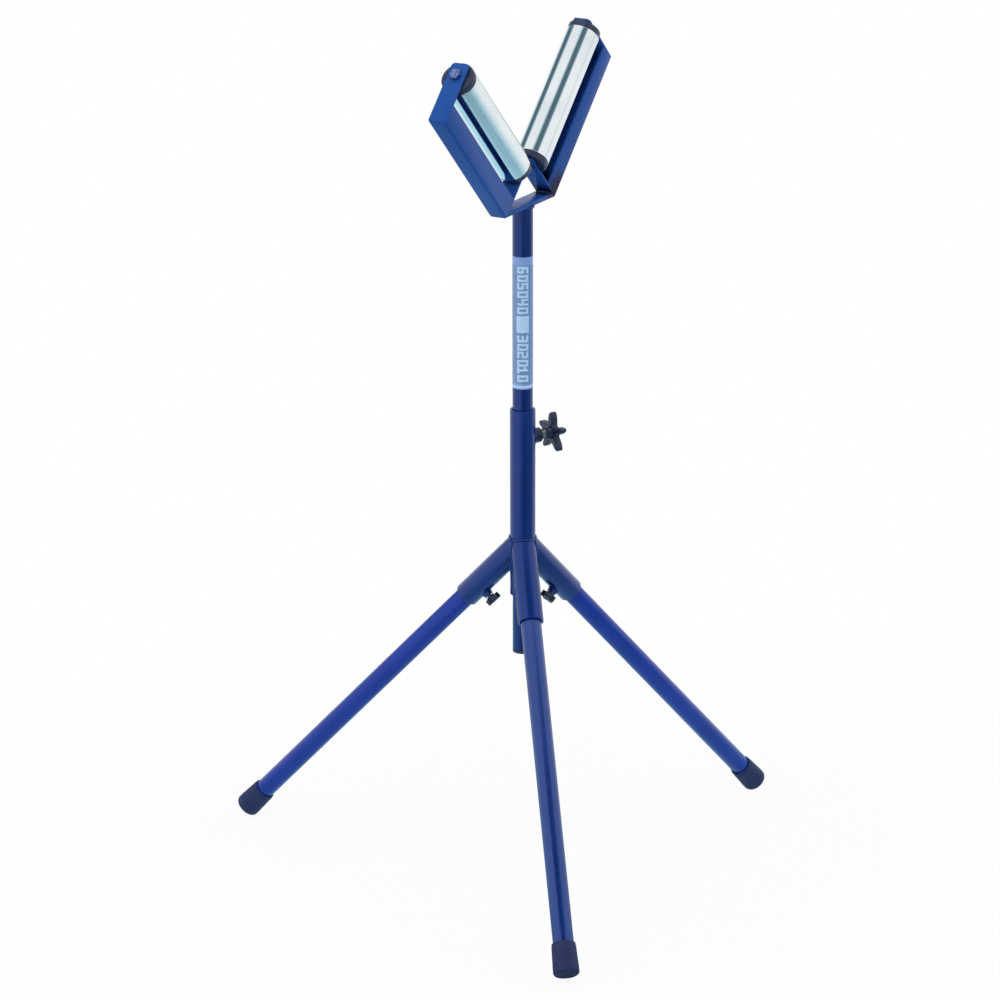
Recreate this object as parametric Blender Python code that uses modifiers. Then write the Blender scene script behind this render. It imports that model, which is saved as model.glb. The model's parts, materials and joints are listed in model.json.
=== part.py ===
"""V roller stand: a three-legged steel stand whose telescoping post carries two rollers in a V.

Metres, +Z up. The V lies in the X-Z plane and the floor is Z = 0. The origin is under the
middle of the whole stand's bounding box. Each leg, arm and clamp is built in its own frame,
held by an empty: a leg's and an arm's frame has its Z along the tube or channel, and a clamp's
frame has its Z along the screw, pointing away from the tube that it clamps.
"""

import math

import bmesh
import bpy
from mathutils import Vector

MM = 0.001

# Fits that many pieces share
SEAT_GAP = 0.3 * MM
CUT_OVERRUN = 4.0 * MM
WELD_TOLERANCE = 0.02 * MM
ROUND_SEGMENTS = 32
SMALL_ROUND_SEGMENTS = 18
SMOOTH_BELOW = math.radians(32.0)
FLAT_BELOW = math.radians(0.5)

# Tripod: where the legs go
LEG_NAMES = ("right", "left", "front")
LEG_ANGLE = math.radians(43.2)
LEG_TURN = math.radians(-23.4)
LEG_REACH = 606.5 * MM
LEG_STEP = 2.0 * math.pi / len(LEG_NAMES)

# Leg sockets, welded to the column
SOCKET_OUTER_RADIUS = 16.85 * MM
SOCKET_WALL = 2.6 * MM
SOCKET_LENGTH = 118.0 * MM
SOCKET_MOUTH_CHAMFER = 0.8 * MM

# Leg tubes
LEG_RADIUS = 13.45 * MM
LEG_WALL = 2.0 * MM
LEG_COLUMN_GAP = 0.6 * MM

# Rubber foot caps
FOOT_RADIUS = 17.0 * MM
FOOT_LIP_RADIUS = 15.6 * MM
FOOT_LENGTH = 42.0 * MM
FOOT_SKIRT = 12.0 * MM
FOOT_SOLE = 5.0 * MM
FOOT_EDGE_RADIUS = 4.0 * MM
FOOT_EDGE_STEPS = 3
FOOT_FLAT_DEPTH = 1.0 * MM
FOOT_LIP_CHAMFER = 0.8 * MM

# Column, the outer tube
COLUMN_RADIUS = 16.85 * MM
COLUMN_WALL = 2.6 * MM
COLUMN_LENGTH = 256.0 * MM
COLUMN_BELOW_JUNCTION = 73.0 * MM
COLUMN_EDGE_CHAMFER = 0.6 * MM

# Post, the inner tube
POST_RADIUS = 13.45 * MM
POST_WALL = 2.0 * MM
POST_LENGTH = 605.7 * MM
POST_BELOW_COLUMN = 82.0 * MM
PLUG_FLANGE = 5.0 * MM
PLUG_EDGE_CHAMFER = 1.2 * MM
PLUG_SPIGOT = 18.0 * MM
PLUG_WALL = 2.4 * MM
PLUG_TAPER = 0.5 * MM

# Column clamp screw with its star knob
CLAMP_BELOW_COLUMN_TOP = 40.0 * MM
CLAMP_TURN = math.radians(-27.0)
CLAMP_STUD_RADIUS = 4.0 * MM
CLAMP_BOSS_RADIUS = 10.0 * MM
CLAMP_BOSS_HEIGHT = 9.5 * MM
CLAMP_BARE_STUD = 8.5 * MM
CLAMP_HUB_RADIUS = 9.0 * MM
CLAMP_HUB_HEIGHT = 8.0 * MM
CLAMP_STAR_RADIUS = 27.5 * MM
CLAMP_STAR_VALLEY = 10.5 * MM
CLAMP_STAR_THICKNESS = 10.0 * MM

# Leg clamp screws with their low star knobs
LEG_CLAMP_PLACE = 93.0 * MM
LEG_CLAMP_STUD_RADIUS = 3.0 * MM
LEG_CLAMP_BOSS_RADIUS = 6.5 * MM
LEG_CLAMP_BOSS_HEIGHT = 4.5 * MM
LEG_CLAMP_BARE_STUD = 1.0 * MM
LEG_CLAMP_HUB_RADIUS = 6.0 * MM
LEG_CLAMP_HUB_HEIGHT = 2.0 * MM
LEG_CLAMP_STAR_RADIUS = 11.0 * MM
LEG_CLAMP_STAR_VALLEY = 7.0 * MM
LEG_CLAMP_STAR_THICKNESS = 8.0 * MM

# Star knobs in general
STAR_LOBES = 5
STAR_POINTS_PER_LOBE = 6
STAR_SHARPNESS = 1.6
STAR_EDGE_SHARE = 0.2
STAR_RECESS_SHARE = 0.55
STAR_RECESS_DEPTH = 0.8 * MM

# V head
ARM_SLOPE = math.radians(45.0)
ARM_FOOT_HALF_SPAN = 65.4 * MM
PLATE_THICKNESS = 6.0 * MM
PLATE_RAISE = 1.5 * MM
CHANNEL_WIDTH = 25.0 * MM
CHANNEL_LENGTH = 220.4 * MM
CHANNEL_SHEET = 2.5 * MM
CHANNEL_FLANGE = 29.0 * MM
CHANNEL_BEND = 3.5 * MM
EAR_HEIGHT = 88.8 * MM
EAR_CORNER = 5.0 * MM
CORNER_STEPS = 5

# Rollers and their bearings
AXLE_RISE = 70.6 * MM
AXLE_RADIUS = 4.0 * MM
ROLLER_RADIUS = 22.5 * MM
ROLLER_WALL = 1.5 * MM
ROLLER_EDGE_CHAMFER = 0.5 * MM
CAP_RUN = 1.5 * MM
CAP_FLANGE = 9.0 * MM
CAP_STEP = 0.6 * MM
CAP_EDGE = 1.6 * MM
CAP_SPIGOT = 12.0 * MM
CAP_SHAFT_CLEARANCE = 3.0 * MM
BEARING_RADIUS = 11.0 * MM
BEARING_WIDTH = 7.0 * MM
BEARING_RECESS = 1.2 * MM
BEARING_RING = 2.4 * MM
BEARING_SEAL_DEPTH = 0.5 * MM
SPACER_WALL = 2.0 * MM

# Axle bolts and nuts
HEX_ACROSS_FLATS = 13.0 * MM
HEX_CHAMFER_ANGLE = math.radians(30.0)
BOLT_HEAD = 5.3 * MM
NUT_HEIGHT = 6.5 * MM
BOLT_PROTRUSION = 3.0 * MM
BOLT_TIP_CHAMFER = 1.0 * MM


# Derived places that several pieces share
SOCKET_BORE_RADIUS = SOCKET_OUTER_RADIUS - SOCKET_WALL
COLUMN_BORE_RADIUS = COLUMN_RADIUS - COLUMN_WALL
LEG_START = (COLUMN_RADIUS + LEG_COLUMN_GAP + LEG_RADIUS * math.cos(LEG_ANGLE)) / math.sin(LEG_ANGLE)
LEG_END = LEG_REACH - FOOT_SOLE - SEAT_GAP
FOOT_END_HEIGHT = (
    FOOT_EDGE_RADIUS * (1.0 - math.cos(LEG_ANGLE))
    + (FOOT_RADIUS - FOOT_EDGE_RADIUS) * math.sin(LEG_ANGLE)
    - FOOT_FLAT_DEPTH
)
JUNCTION_HEIGHT = FOOT_END_HEIGHT + LEG_REACH * math.cos(LEG_ANGLE)
COLUMN_BOTTOM = JUNCTION_HEIGHT - COLUMN_BELOW_JUNCTION
COLUMN_TOP = COLUMN_BOTTOM + COLUMN_LENGTH
PLUG_BOTTOM = COLUMN_BOTTOM - POST_BELOW_COLUMN
POST_BOTTOM = PLUG_BOTTOM + PLUG_FLANGE + SEAT_GAP
POST_TOP = POST_BOTTOM + POST_LENGTH
PLATE_BOTTOM = POST_TOP + SEAT_GAP
ARM_FOOT_HEIGHT = PLATE_BOTTOM - PLATE_RAISE
CAP_FACE = CHANNEL_SHEET + CAP_RUN
ROLLER_START = CAP_FACE + CAP_FLANGE + SEAT_GAP
BEARING_FACE = CAP_FACE + BEARING_RECESS


def clear_scene():
    """Remove every object, mesh and curve that the file holds."""
    for item in list(bpy.data.objects):
        bpy.data.objects.remove(item, do_unlink=True)
    for block in (bpy.data.meshes, bpy.data.curves, bpy.data.materials):
        for item in list(block):
            block.remove(item)


def new_collection(name):
    """A collection of this name, linked to the scene."""
    collection = bpy.data.collections.new(name)
    bpy.context.scene.collection.children.link(collection)
    return collection


def new_material(name, colour, roughness, metallic):
    """A Principled material with a plain colour."""
    material = bpy.data.materials.new(name)
    material.use_nodes = True
    shader = material.node_tree.nodes["Principled BSDF"]
    shader.inputs["Base Color"].default_value = (*colour, 1.0)
    shader.inputs["Roughness"].default_value = roughness
    shader.inputs["Metallic"].default_value = metallic
    material.diffuse_color = (*colour, 1.0)
    return material


def new_empty(name, collection, parent=None, location=(0.0, 0.0, 0.0), rotation=(0.0, 0.0, 0.0)):
    """An empty that carries one frame of the assembly."""
    empty = bpy.data.objects.new(name, None)
    empty.empty_display_size = 20.0 * MM
    collection.objects.link(empty)
    empty.parent = parent
    empty.location = location
    empty.rotation_euler = rotation
    return empty


def new_piece(name, mesh, collection, parent, location=(0.0, 0.0, 0.0), rotation=(0.0, 0.0, 0.0)):
    """An object for a mesh, placed in its parent's frame."""
    piece = bpy.data.objects.new(name, mesh)
    collection.objects.link(piece)
    piece.parent = parent
    piece.location = location
    piece.rotation_euler = rotation
    return piece


def evaluated_mesh(piece):
    """The mesh that the object's curve or modifiers give, as a mesh of its own."""
    bpy.context.view_layer.update()
    graph = bpy.context.evaluated_depsgraph_get()
    return bpy.data.meshes.new_from_object(piece.evaluated_get(graph))


def turned(name, profile, collection, parent, location=(0.0, 0.0, 0.0), closed=False,
           segments=ROUND_SEGMENTS):
    """A turned solid: a profile of (radius, height) points spun round Z.

    The profile runs down its outer side. One that starts and ends on the axis makes a solid
    piece, and a closed one makes a ring.
    """
    mesh = bpy.data.meshes.new(name)
    shape = bmesh.new()
    corners = [shape.verts.new((radius, 0.0, height)) for radius, height in profile]
    for first, second in zip(corners, corners[1:]):
        shape.edges.new((first, second))
    if closed:
        shape.edges.new((corners[-1], corners[0]))
    shape.to_mesh(mesh)
    shape.free()
    piece = new_piece(name, mesh, collection, parent, location)
    screw = piece.modifiers.new("spin", "SCREW")
    screw.steps = segments
    screw.render_steps = segments
    screw.use_merge_vertices = True
    screw.merge_threshold = WELD_TOLERANCE
    screw.use_smooth_shade = False
    return piece


def ring_profile(outer, inner, low, high, chamfer=0.0):
    """The closed section of a tube, with its outer edges broken by a chamfer."""
    if chamfer <= 0.0:
        return [(outer, high), (outer, low), (inner, low), (inner, high)]
    return [
        (outer - chamfer, high),
        (outer, high - chamfer),
        (outer, low + chamfer),
        (outer - chamfer, low),
        (inner, low),
        (inner, high),
    ]


def rod(name, radius, low, high, collection, parent, location=(0.0, 0.0, 0.0), rotation=(0.0, 0.0, 0.0),
        segments=SMALL_ROUND_SEGMENTS):
    """A plain round bar along Z, from low to high."""
    mesh = bpy.data.meshes.new(name)
    shape = bmesh.new()
    bmesh.ops.create_cone(
        shape, cap_ends=True, segments=segments, radius1=radius, radius2=radius, depth=high - low
    )
    bmesh.ops.translate(shape, verts=shape.verts, vec=(0.0, 0.0, (low + high) / 2.0))
    shape.to_mesh(mesh)
    shape.free()
    return new_piece(name, mesh, collection, parent, location, rotation)


def block(name, low, high, collection, parent, rotation=(0.0, 0.0, 0.0)):
    """A box between two corners of its parent's frame."""
    low, high = Vector(low), Vector(high)
    mesh = bpy.data.meshes.new(name)
    shape = bmesh.new()
    bmesh.ops.create_cube(shape, size=1.0)
    bmesh.ops.scale(shape, verts=shape.verts, vec=high - low)
    bmesh.ops.translate(shape, verts=shape.verts, vec=(low + high) / 2.0)
    shape.to_mesh(mesh)
    shape.free()
    return new_piece(name, mesh, collection, parent, rotation=rotation)


def plate(name, outline, thickness, collection, parent, location=(0.0, 0.0, 0.0),
          rotation=(0.0, 0.0, 0.0)):
    """A flat plate with this outline in its XY plane, half its thickness on each side."""
    curve = bpy.data.curves.new(name + "_outline", "CURVE")
    curve.dimensions = "2D"
    curve.fill_mode = "BOTH"
    curve.extrude = thickness / 2.0
    spline = curve.splines.new("POLY")
    spline.points.add(len(outline) - 1)
    for point, (x, y) in zip(spline.points, outline):
        point.co = (x, y, 0.0, 1.0)
    spline.use_cyclic_u = True
    guide = new_piece(name + "_outline", curve, collection, None)
    mesh = evaluated_mesh(guide)
    bpy.data.objects.remove(guide)
    bpy.data.curves.remove(curve)
    shape = bmesh.new()
    shape.from_mesh(mesh)
    bmesh.ops.remove_doubles(shape, verts=shape.verts, dist=WELD_TOLERANCE)
    bmesh.ops.dissolve_limit(shape, angle_limit=FLAT_BELOW, verts=shape.verts, edges=shape.edges)
    bmesh.ops.recalc_face_normals(shape, faces=shape.faces)
    shape.to_mesh(mesh)
    shape.free()
    mesh.name = name
    return new_piece(name, mesh, collection, parent, location, rotation)


def combine(piece, tool, operation):
    """Add a Boolean modifier that cuts, joins or intersects the piece with a hidden tool."""
    boolean = piece.modifiers.new(tool.name, "BOOLEAN")
    boolean.operation = operation
    boolean.solver = "EXACT"
    boolean.object = tool
    tool.hide_render = True
    tool.display_type = "WIRE"


def soften(piece, width, segments=2, angle=math.radians(40.0)):
    """Round the edges of a piece that are sharper than an angle."""
    bevel = piece.modifiers.new("soften", "BEVEL")
    bevel.width = width
    bevel.segments = segments
    bevel.limit_method = "ANGLE"
    bevel.angle_limit = angle


def settle(piece):
    """Replace a piece's modifiers by the mesh they make, smooth where it is round."""
    mesh = evaluated_mesh(piece)
    piece.modifiers.clear()
    old = piece.data
    piece.data = mesh
    bpy.data.meshes.remove(old)
    mesh.name = piece.name
    mesh.shade_smooth()
    mesh.set_sharp_from_angle(angle=SMOOTH_BELOW)


def arc(centre, radius, start, end, steps):
    """Points along an arc, with both ends."""
    turns = [start + (end - start) * step / steps for step in range(steps + 1)]
    return [(centre[0] + radius * math.cos(turn), centre[1] + radius * math.sin(turn)) for turn in turns]


def star_outline(tip, valley):
    """A star with round lobes, the first one towards -X."""
    count = STAR_LOBES * STAR_POINTS_PER_LOBE
    points = []
    for step in range(count):
        turn = 2.0 * math.pi * step / count
        swell = ((1.0 + math.cos(STAR_LOBES * turn)) / 2.0) ** STAR_SHARPNESS
        radius = valley + (tip - valley) * swell
        points.append((-radius * math.cos(turn), -radius * math.sin(turn)))
    return points


def hexagon_bar(name, low, high, collection, parent, cutters):
    """A six-sided bar along Z whose corners are turned down at both ends."""
    flat = HEX_ACROSS_FLATS / 2.0
    corner = HEX_ACROSS_FLATS / math.sqrt(3.0)
    wide = corner + SEAT_GAP
    drop = (wide - flat) * math.tan(HEX_CHAMFER_ANGLE)
    bar = rod(name, corner, low, high, collection, parent, segments=6)
    envelope = turned(
        name + "_corners",
        [(0.0, high), (flat, high), (wide, high - drop), (wide, low + drop), (flat, low), (0.0, low)],
        cutters, parent, segments=SMALL_ROUND_SEGMENTS,
    )
    combine(bar, envelope, "INTERSECT")
    return bar


class Clamp:
    """One clamp screw: a welded boss, a threaded stud and a star knob."""

    def __init__(self, name, kind, tube_radius, held_radius, sizes):
        self.name = name
        self.kind = kind
        self.tube_radius = tube_radius
        self.held_radius = held_radius
        self.stud_radius, self.boss_radius, boss_height = sizes[0:3]
        bare_stud, self.hub_radius, hub_height = sizes[3:6]
        self.star_radius, self.star_valley, self.star_thickness = sizes[6:9]
        self.boss_end = tube_radius + boss_height
        self.hub_start = self.boss_end + bare_stud
        self.star_start = self.hub_start + hub_height
        self.knob_end = self.star_start + self.star_thickness
        self.stud_end = self.star_start + self.star_thickness * STAR_RECESS_SHARE

    def drill(self, tube, frame, cutters):
        """Cut the stud's hole through the wall of the tube that holds the boss."""
        hole = rod(
            f"{self.name}_hole", self.stud_radius + SEAT_GAP, self.held_radius / 2.0,
            self.tube_radius + CUT_OVERRUN, cutters, frame,
        )
        combine(tube, hole, "DIFFERENCE")

    def build(self, frame, parts, cutters, tube_axis_rotation):
        """Make the boss, stud and knob in the clamp's frame."""
        bore = self.stud_radius + SEAT_GAP
        boss = turned(
            f"{self.kind}_boss{self.name}",
            ring_profile(self.boss_radius, bore, 0.0, self.boss_end, COLUMN_EDGE_CHAMFER),
            parts, frame, closed=True, segments=SMALL_ROUND_SEGMENTS,
        )
        reach = self.boss_radius + CUT_OVERRUN
        cope = rod(
            f"{self.kind}_cope{self.name}", self.tube_radius + SEAT_GAP, -reach, reach, cutters, frame,
            rotation=tube_axis_rotation, segments=ROUND_SEGMENTS,
        )
        combine(boss, cope, "DIFFERENCE")

        tip = self.held_radius + SEAT_GAP
        chamfer = self.stud_radius * STAR_EDGE_SHARE
        stud_profile = [
            (0.0, self.stud_end),
            (self.stud_radius, self.stud_end),
            (self.stud_radius, tip + chamfer),
            (self.stud_radius - chamfer, tip),
            (0.0, tip),
        ]
        turned(f"{self.kind}_stud{self.name}", stud_profile, parts, frame, segments=SMALL_ROUND_SEGMENTS)

        star = plate(
            f"{self.kind}_knob{self.name}", star_outline(self.star_radius, self.star_valley),
            self.star_thickness, parts, frame, location=(0.0, 0.0, self.star_start + self.star_thickness / 2.0),
        )
        soften(star, self.star_thickness * STAR_EDGE_SHARE)
        hub = rod(
            f"{self.kind}_hub{self.name}", self.hub_radius, self.hub_start,
            self.star_start + self.star_thickness / 2.0, cutters, frame,
        )
        combine(star, hub, "UNION")
        socket = rod(
            f"{self.kind}_thread{self.name}", bore, self.hub_start - CUT_OVERRUN,
            self.stud_end + SEAT_GAP, cutters, frame,
        )
        combine(star, socket, "DIFFERENCE")
        recess = rod(
            f"{self.kind}_recess{self.name}", self.star_valley * STAR_RECESS_SHARE,
            self.knob_end - STAR_RECESS_DEPTH, self.knob_end + CUT_OVERRUN, cutters, frame,
        )
        combine(star, recess, "DIFFERENCE")


def column_clamp():
    """The clamp that holds the post at its height."""
    sizes = (
        CLAMP_STUD_RADIUS, CLAMP_BOSS_RADIUS, CLAMP_BOSS_HEIGHT, CLAMP_BARE_STUD, CLAMP_HUB_RADIUS,
        CLAMP_HUB_HEIGHT, CLAMP_STAR_RADIUS, CLAMP_STAR_VALLEY, CLAMP_STAR_THICKNESS,
    )
    return Clamp("", "column_clamp", COLUMN_RADIUS, POST_RADIUS, sizes)


def leg_clamp(leg_name):
    """The clamp that holds one leg in its socket."""
    sizes = (
        LEG_CLAMP_STUD_RADIUS, LEG_CLAMP_BOSS_RADIUS, LEG_CLAMP_BOSS_HEIGHT, LEG_CLAMP_BARE_STUD,
        LEG_CLAMP_HUB_RADIUS, LEG_CLAMP_HUB_HEIGHT, LEG_CLAMP_STAR_RADIUS, LEG_CLAMP_STAR_VALLEY,
        LEG_CLAMP_STAR_THICKNESS,
    )
    return Clamp("_" + leg_name, "leg_clamp", SOCKET_OUTER_RADIUS, LEG_RADIUS, sizes)


def build_column(stand, parts, cutters):
    """The outer tube and the clamp near its top."""
    tube = turned(
        "column_tube",
        ring_profile(COLUMN_RADIUS, COLUMN_BORE_RADIUS, COLUMN_BOTTOM, COLUMN_TOP, COLUMN_EDGE_CHAMFER),
        parts, stand, closed=True,
    )
    place = (0.0, 0.0, COLUMN_TOP - CLAMP_BELOW_COLUMN_TOP)
    frame = new_empty("column_clamp_frame", parts, stand, place, (0.0, math.pi / 2.0, CLAMP_TURN))
    clamp = column_clamp()
    clamp.drill(tube, frame, cutters)
    clamp.build(frame, parts, cutters, (0.0, math.pi / 2.0, 0.0))


def mitre_cutter(name, azimuth, side, stand, cutters):
    """A block that trims a socket along the plane it shares with its neighbour."""
    size = SOCKET_LENGTH * 2.0
    plane = azimuth + side * LEG_STEP / 2.0
    low = (-size, -SEAT_GAP / 2.0 if side > 0 else -size, -size)
    high = (size, size if side > 0 else SEAT_GAP / 2.0, size)
    cutter = block(name, low, high, cutters, stand, rotation=(0.0, 0.0, plane))
    cutter.location = (0.0, 0.0, JUNCTION_HEIGHT)
    return cutter


def build_leg(leg_name, azimuth, stand, parts, cutters):
    """One leg: socket, tube, foot cap and clamp."""
    frame = new_empty(
        f"leg_frame_{leg_name}", parts, stand, (0.0, 0.0, JUNCTION_HEIGHT), (0.0, math.pi - LEG_ANGLE, azimuth)
    )
    mouth = SOCKET_LENGTH - SOCKET_MOUTH_CHAMFER
    inner_end = -SOCKET_OUTER_RADIUS
    socket = turned(
        f"leg_socket_{leg_name}",
        [
            (SOCKET_OUTER_RADIUS - SOCKET_MOUTH_CHAMFER, SOCKET_LENGTH),
            (SOCKET_OUTER_RADIUS, mouth),
            (SOCKET_OUTER_RADIUS, inner_end),
            (SOCKET_BORE_RADIUS, inner_end),
            (SOCKET_BORE_RADIUS, SOCKET_LENGTH),
        ],
        parts, frame, closed=True,
    )
    cope = rod(
        f"socket_cope_{leg_name}", COLUMN_RADIUS + SEAT_GAP, JUNCTION_HEIGHT - SOCKET_LENGTH,
        JUNCTION_HEIGHT + SOCKET_LENGTH, cutters, stand, segments=ROUND_SEGMENTS,
    )
    combine(socket, cope, "DIFFERENCE")
    for side in (-1, 1):
        combine(socket, mitre_cutter(f"socket_mitre_{leg_name}_{side}", azimuth, side, stand, cutters), "DIFFERENCE")

    turned(
        f"leg_tube_{leg_name}", ring_profile(LEG_RADIUS, LEG_RADIUS - LEG_WALL, LEG_START, LEG_END),
        parts, frame, closed=True,
    )
    build_foot(leg_name, frame, stand, parts, cutters)

    clamp_frame = new_empty(
        f"leg_clamp_frame_{leg_name}", parts, frame, (0.0, 0.0, LEG_CLAMP_PLACE), (0.0, math.pi / 2.0, 0.0)
    )
    clamp = leg_clamp(leg_name)
    clamp.drill(socket, clamp_frame, cutters)
    clamp.build(clamp_frame, parts, cutters, (0.0, math.pi / 2.0, 0.0))


def build_foot(leg_name, frame, stand, parts, cutters):
    """A rubber cap on a leg's end, flat where it stands on the floor."""
    bore = LEG_RADIUS + SEAT_GAP
    rim = FOOT_RADIUS - FOOT_EDGE_RADIUS
    sole_edge = arc((rim, -FOOT_EDGE_RADIUS), FOOT_EDGE_RADIUS, math.pi / 2.0, 0.0, FOOT_EDGE_STEPS)
    profile = [
        (0.0, 0.0),
        *sole_edge,
        (FOOT_RADIUS, -FOOT_SKIRT),
        (FOOT_LIP_RADIUS, -FOOT_LENGTH + FOOT_LIP_CHAMFER),
        (FOOT_LIP_RADIUS - FOOT_LIP_CHAMFER, -FOOT_LENGTH),
        (bore, -FOOT_LENGTH),
        (bore, -FOOT_SOLE),
        (0.0, -FOOT_SOLE),
    ]
    cap = turned(f"foot_cap_{leg_name}", profile, parts, frame, location=(0.0, 0.0, LEG_REACH))
    reach = 2.0 * LEG_REACH
    floor = block(
        f"floor_cut_{leg_name}", (-reach, -reach, -reach), (reach, reach, 0.0), cutters, stand
    )
    combine(cap, floor, "DIFFERENCE")


def build_post(stand, parts):
    """The inner tube and the plug in its lower end."""
    turned(
        "post_tube",
        ring_profile(POST_RADIUS, POST_RADIUS - POST_WALL, POST_BOTTOM, POST_TOP),
        parts, stand, closed=True,
    )
    spigot = POST_RADIUS - POST_WALL - SEAT_GAP
    spigot_top = PLUG_FLANGE + PLUG_SPIGOT
    profile = [
        (0.0, PLUG_FLANGE),
        (spigot - PLUG_WALL, PLUG_FLANGE),
        (spigot - PLUG_WALL, spigot_top),
        (spigot - PLUG_TAPER, spigot_top),
        (spigot, PLUG_FLANGE),
        (POST_RADIUS, PLUG_FLANGE),
        (POST_RADIUS, PLUG_EDGE_CHAMFER),
        (POST_RADIUS - PLUG_EDGE_CHAMFER, 0.0),
        (0.0, 0.0),
    ]
    turned("post_end_plug", profile, parts, stand, location=(0.0, 0.0, PLUG_BOTTOM))


def build_base_plate(stand, parts):
    """The flat bar on the post's top, whose slanted ends meet the two arms' inner ears."""
    ear_lean = math.tan(ARM_SLOPE)
    half_bottom = ARM_FOOT_HALF_SPAN - PLATE_RAISE * ear_lean - SEAT_GAP / math.cos(ARM_SLOPE)
    half_top = half_bottom - PLATE_THICKNESS * ear_lean
    outline = [(-half_bottom, 0.0), (half_bottom, 0.0), (half_top, PLATE_THICKNESS), (-half_top, PLATE_THICKNESS)]
    plate(
        "head_base_plate", outline, CHANNEL_WIDTH, parts, stand,
        location=(0.0, 0.0, PLATE_BOTTOM), rotation=(math.pi / 2.0, 0.0, 0.0),
    )


def build_channel(side, frame, parts, cutters):
    """A folded channel with a tall ear at each end, whose ears carry the axle."""
    far = CHANNEL_LENGTH
    bend = CHANNEL_BEND
    low_bend = arc((bend, bend), bend, 1.5 * math.pi, math.pi, CORNER_STEPS)
    high_bend = arc((bend, far - bend), bend, math.pi, 0.5 * math.pi, CORNER_STEPS)
    side_view = low_bend + high_bend + [
        (EAR_HEIGHT, far),
        (EAR_HEIGHT, far - CHANNEL_SHEET),
        (CHANNEL_FLANGE, far - CHANNEL_SHEET),
        (CHANNEL_FLANGE, CHANNEL_SHEET),
        (EAR_HEIGHT, CHANNEL_SHEET),
        (EAR_HEIGHT, 0.0),
    ]
    channel = plate(
        f"roller_channel_{side}", side_view, CHANNEL_WIDTH, parts, frame, rotation=(math.pi / 2.0, 0.0, 0.0)
    )

    half = CHANNEL_WIDTH / 2.0
    quarter = 0.5 * math.pi
    top = EAR_HEIGHT - EAR_CORNER
    end_view = arc((bend, bend - half), bend, 3.0 * quarter, math.pi, CORNER_STEPS)[::-1]
    end_view += arc((top, EAR_CORNER - half), EAR_CORNER, -quarter, 0.0, CORNER_STEPS)
    end_view += arc((top, half - EAR_CORNER), EAR_CORNER, 0.0, quarter, CORNER_STEPS)
    end_view += arc((bend, half - bend), bend, quarter, math.pi, CORNER_STEPS)
    section = plate(
        f"channel_section_{side}", end_view, far + 2.0 * CUT_OVERRUN, cutters, frame,
        location=(0.0, 0.0, far / 2.0),
    )
    combine(channel, section, "INTERSECT")

    inside = half - CHANNEL_SHEET
    pocket = block(
        f"channel_pocket_{side}", (CHANNEL_SHEET, -inside, CHANNEL_SHEET),
        (CHANNEL_FLANGE + CUT_OVERRUN, inside, far - CHANNEL_SHEET), cutters, frame,
    )
    soften(pocket, CHANNEL_BEND - CHANNEL_SHEET)
    combine(channel, pocket, "DIFFERENCE")
    hole = rod(
        f"axle_hole_{side}", AXLE_RADIUS + SEAT_GAP, -CUT_OVERRUN, far + CUT_OVERRUN, cutters, frame,
        location=(AXLE_RISE, 0.0, 0.0),
    )
    combine(channel, hole, "DIFFERENCE")


def build_roller(side, axle_frame, parts):
    """A steel tube between the two ends of an axle."""
    turned(
        f"roller_tube_{side}",
        ring_profile(
            ROLLER_RADIUS, ROLLER_RADIUS - ROLLER_WALL, ROLLER_START, CHANNEL_LENGTH - ROLLER_START,
            ROLLER_EDGE_CHAMFER,
        ),
        parts, axle_frame, closed=True,
    )


def build_roller_end(name, frame, parts):
    """One end cap, its bearing and the spacer beside it, with Z pointing into the roller."""
    rim = ROLLER_RADIUS - CAP_STEP
    flange_end = CAP_FACE + CAP_FLANGE
    spigot = ROLLER_RADIUS - ROLLER_WALL - SEAT_GAP
    spigot_end = flange_end + CAP_SPIGOT
    seat = BEARING_RADIUS + SEAT_GAP
    seat_end = BEARING_FACE + BEARING_WIDTH + SEAT_GAP
    shaft_hole = AXLE_RADIUS + CAP_SHAFT_CLEARANCE
    profile = [
        (shaft_hole, spigot_end),
        (spigot, spigot_end),
        (spigot, flange_end),
        (rim, flange_end),
        (rim, CAP_FACE + CAP_EDGE),
        (rim - CAP_EDGE, CAP_FACE),
        (seat, CAP_FACE),
        (seat, seat_end),
        (shaft_hole, seat_end),
    ]
    turned(f"roller_cap_{name}", profile, parts, frame, closed=True)

    bore = AXLE_RADIUS + SEAT_GAP
    back = BEARING_FACE + BEARING_WIDTH
    inner = bore + BEARING_RING
    outer = BEARING_RADIUS - BEARING_RING
    sunk = BEARING_FACE + BEARING_SEAL_DEPTH
    bearing_profile = [
        (BEARING_RADIUS, back),
        (BEARING_RADIUS, BEARING_FACE),
        (outer, BEARING_FACE),
        (outer, sunk),
        (inner, sunk),
        (inner, BEARING_FACE),
        (bore, BEARING_FACE),
        (bore, back),
    ]
    turned(
        f"roller_bearing_{name}", bearing_profile, parts, frame, closed=True, segments=SMALL_ROUND_SEGMENTS
    )
    turned(
        f"axle_spacer_{name}",
        ring_profile(bore + SPACER_WALL, bore, CHANNEL_SHEET + SEAT_GAP, BEARING_FACE - SEAT_GAP),
        parts, frame, closed=True, segments=SMALL_ROUND_SEGMENTS,
    )


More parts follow.
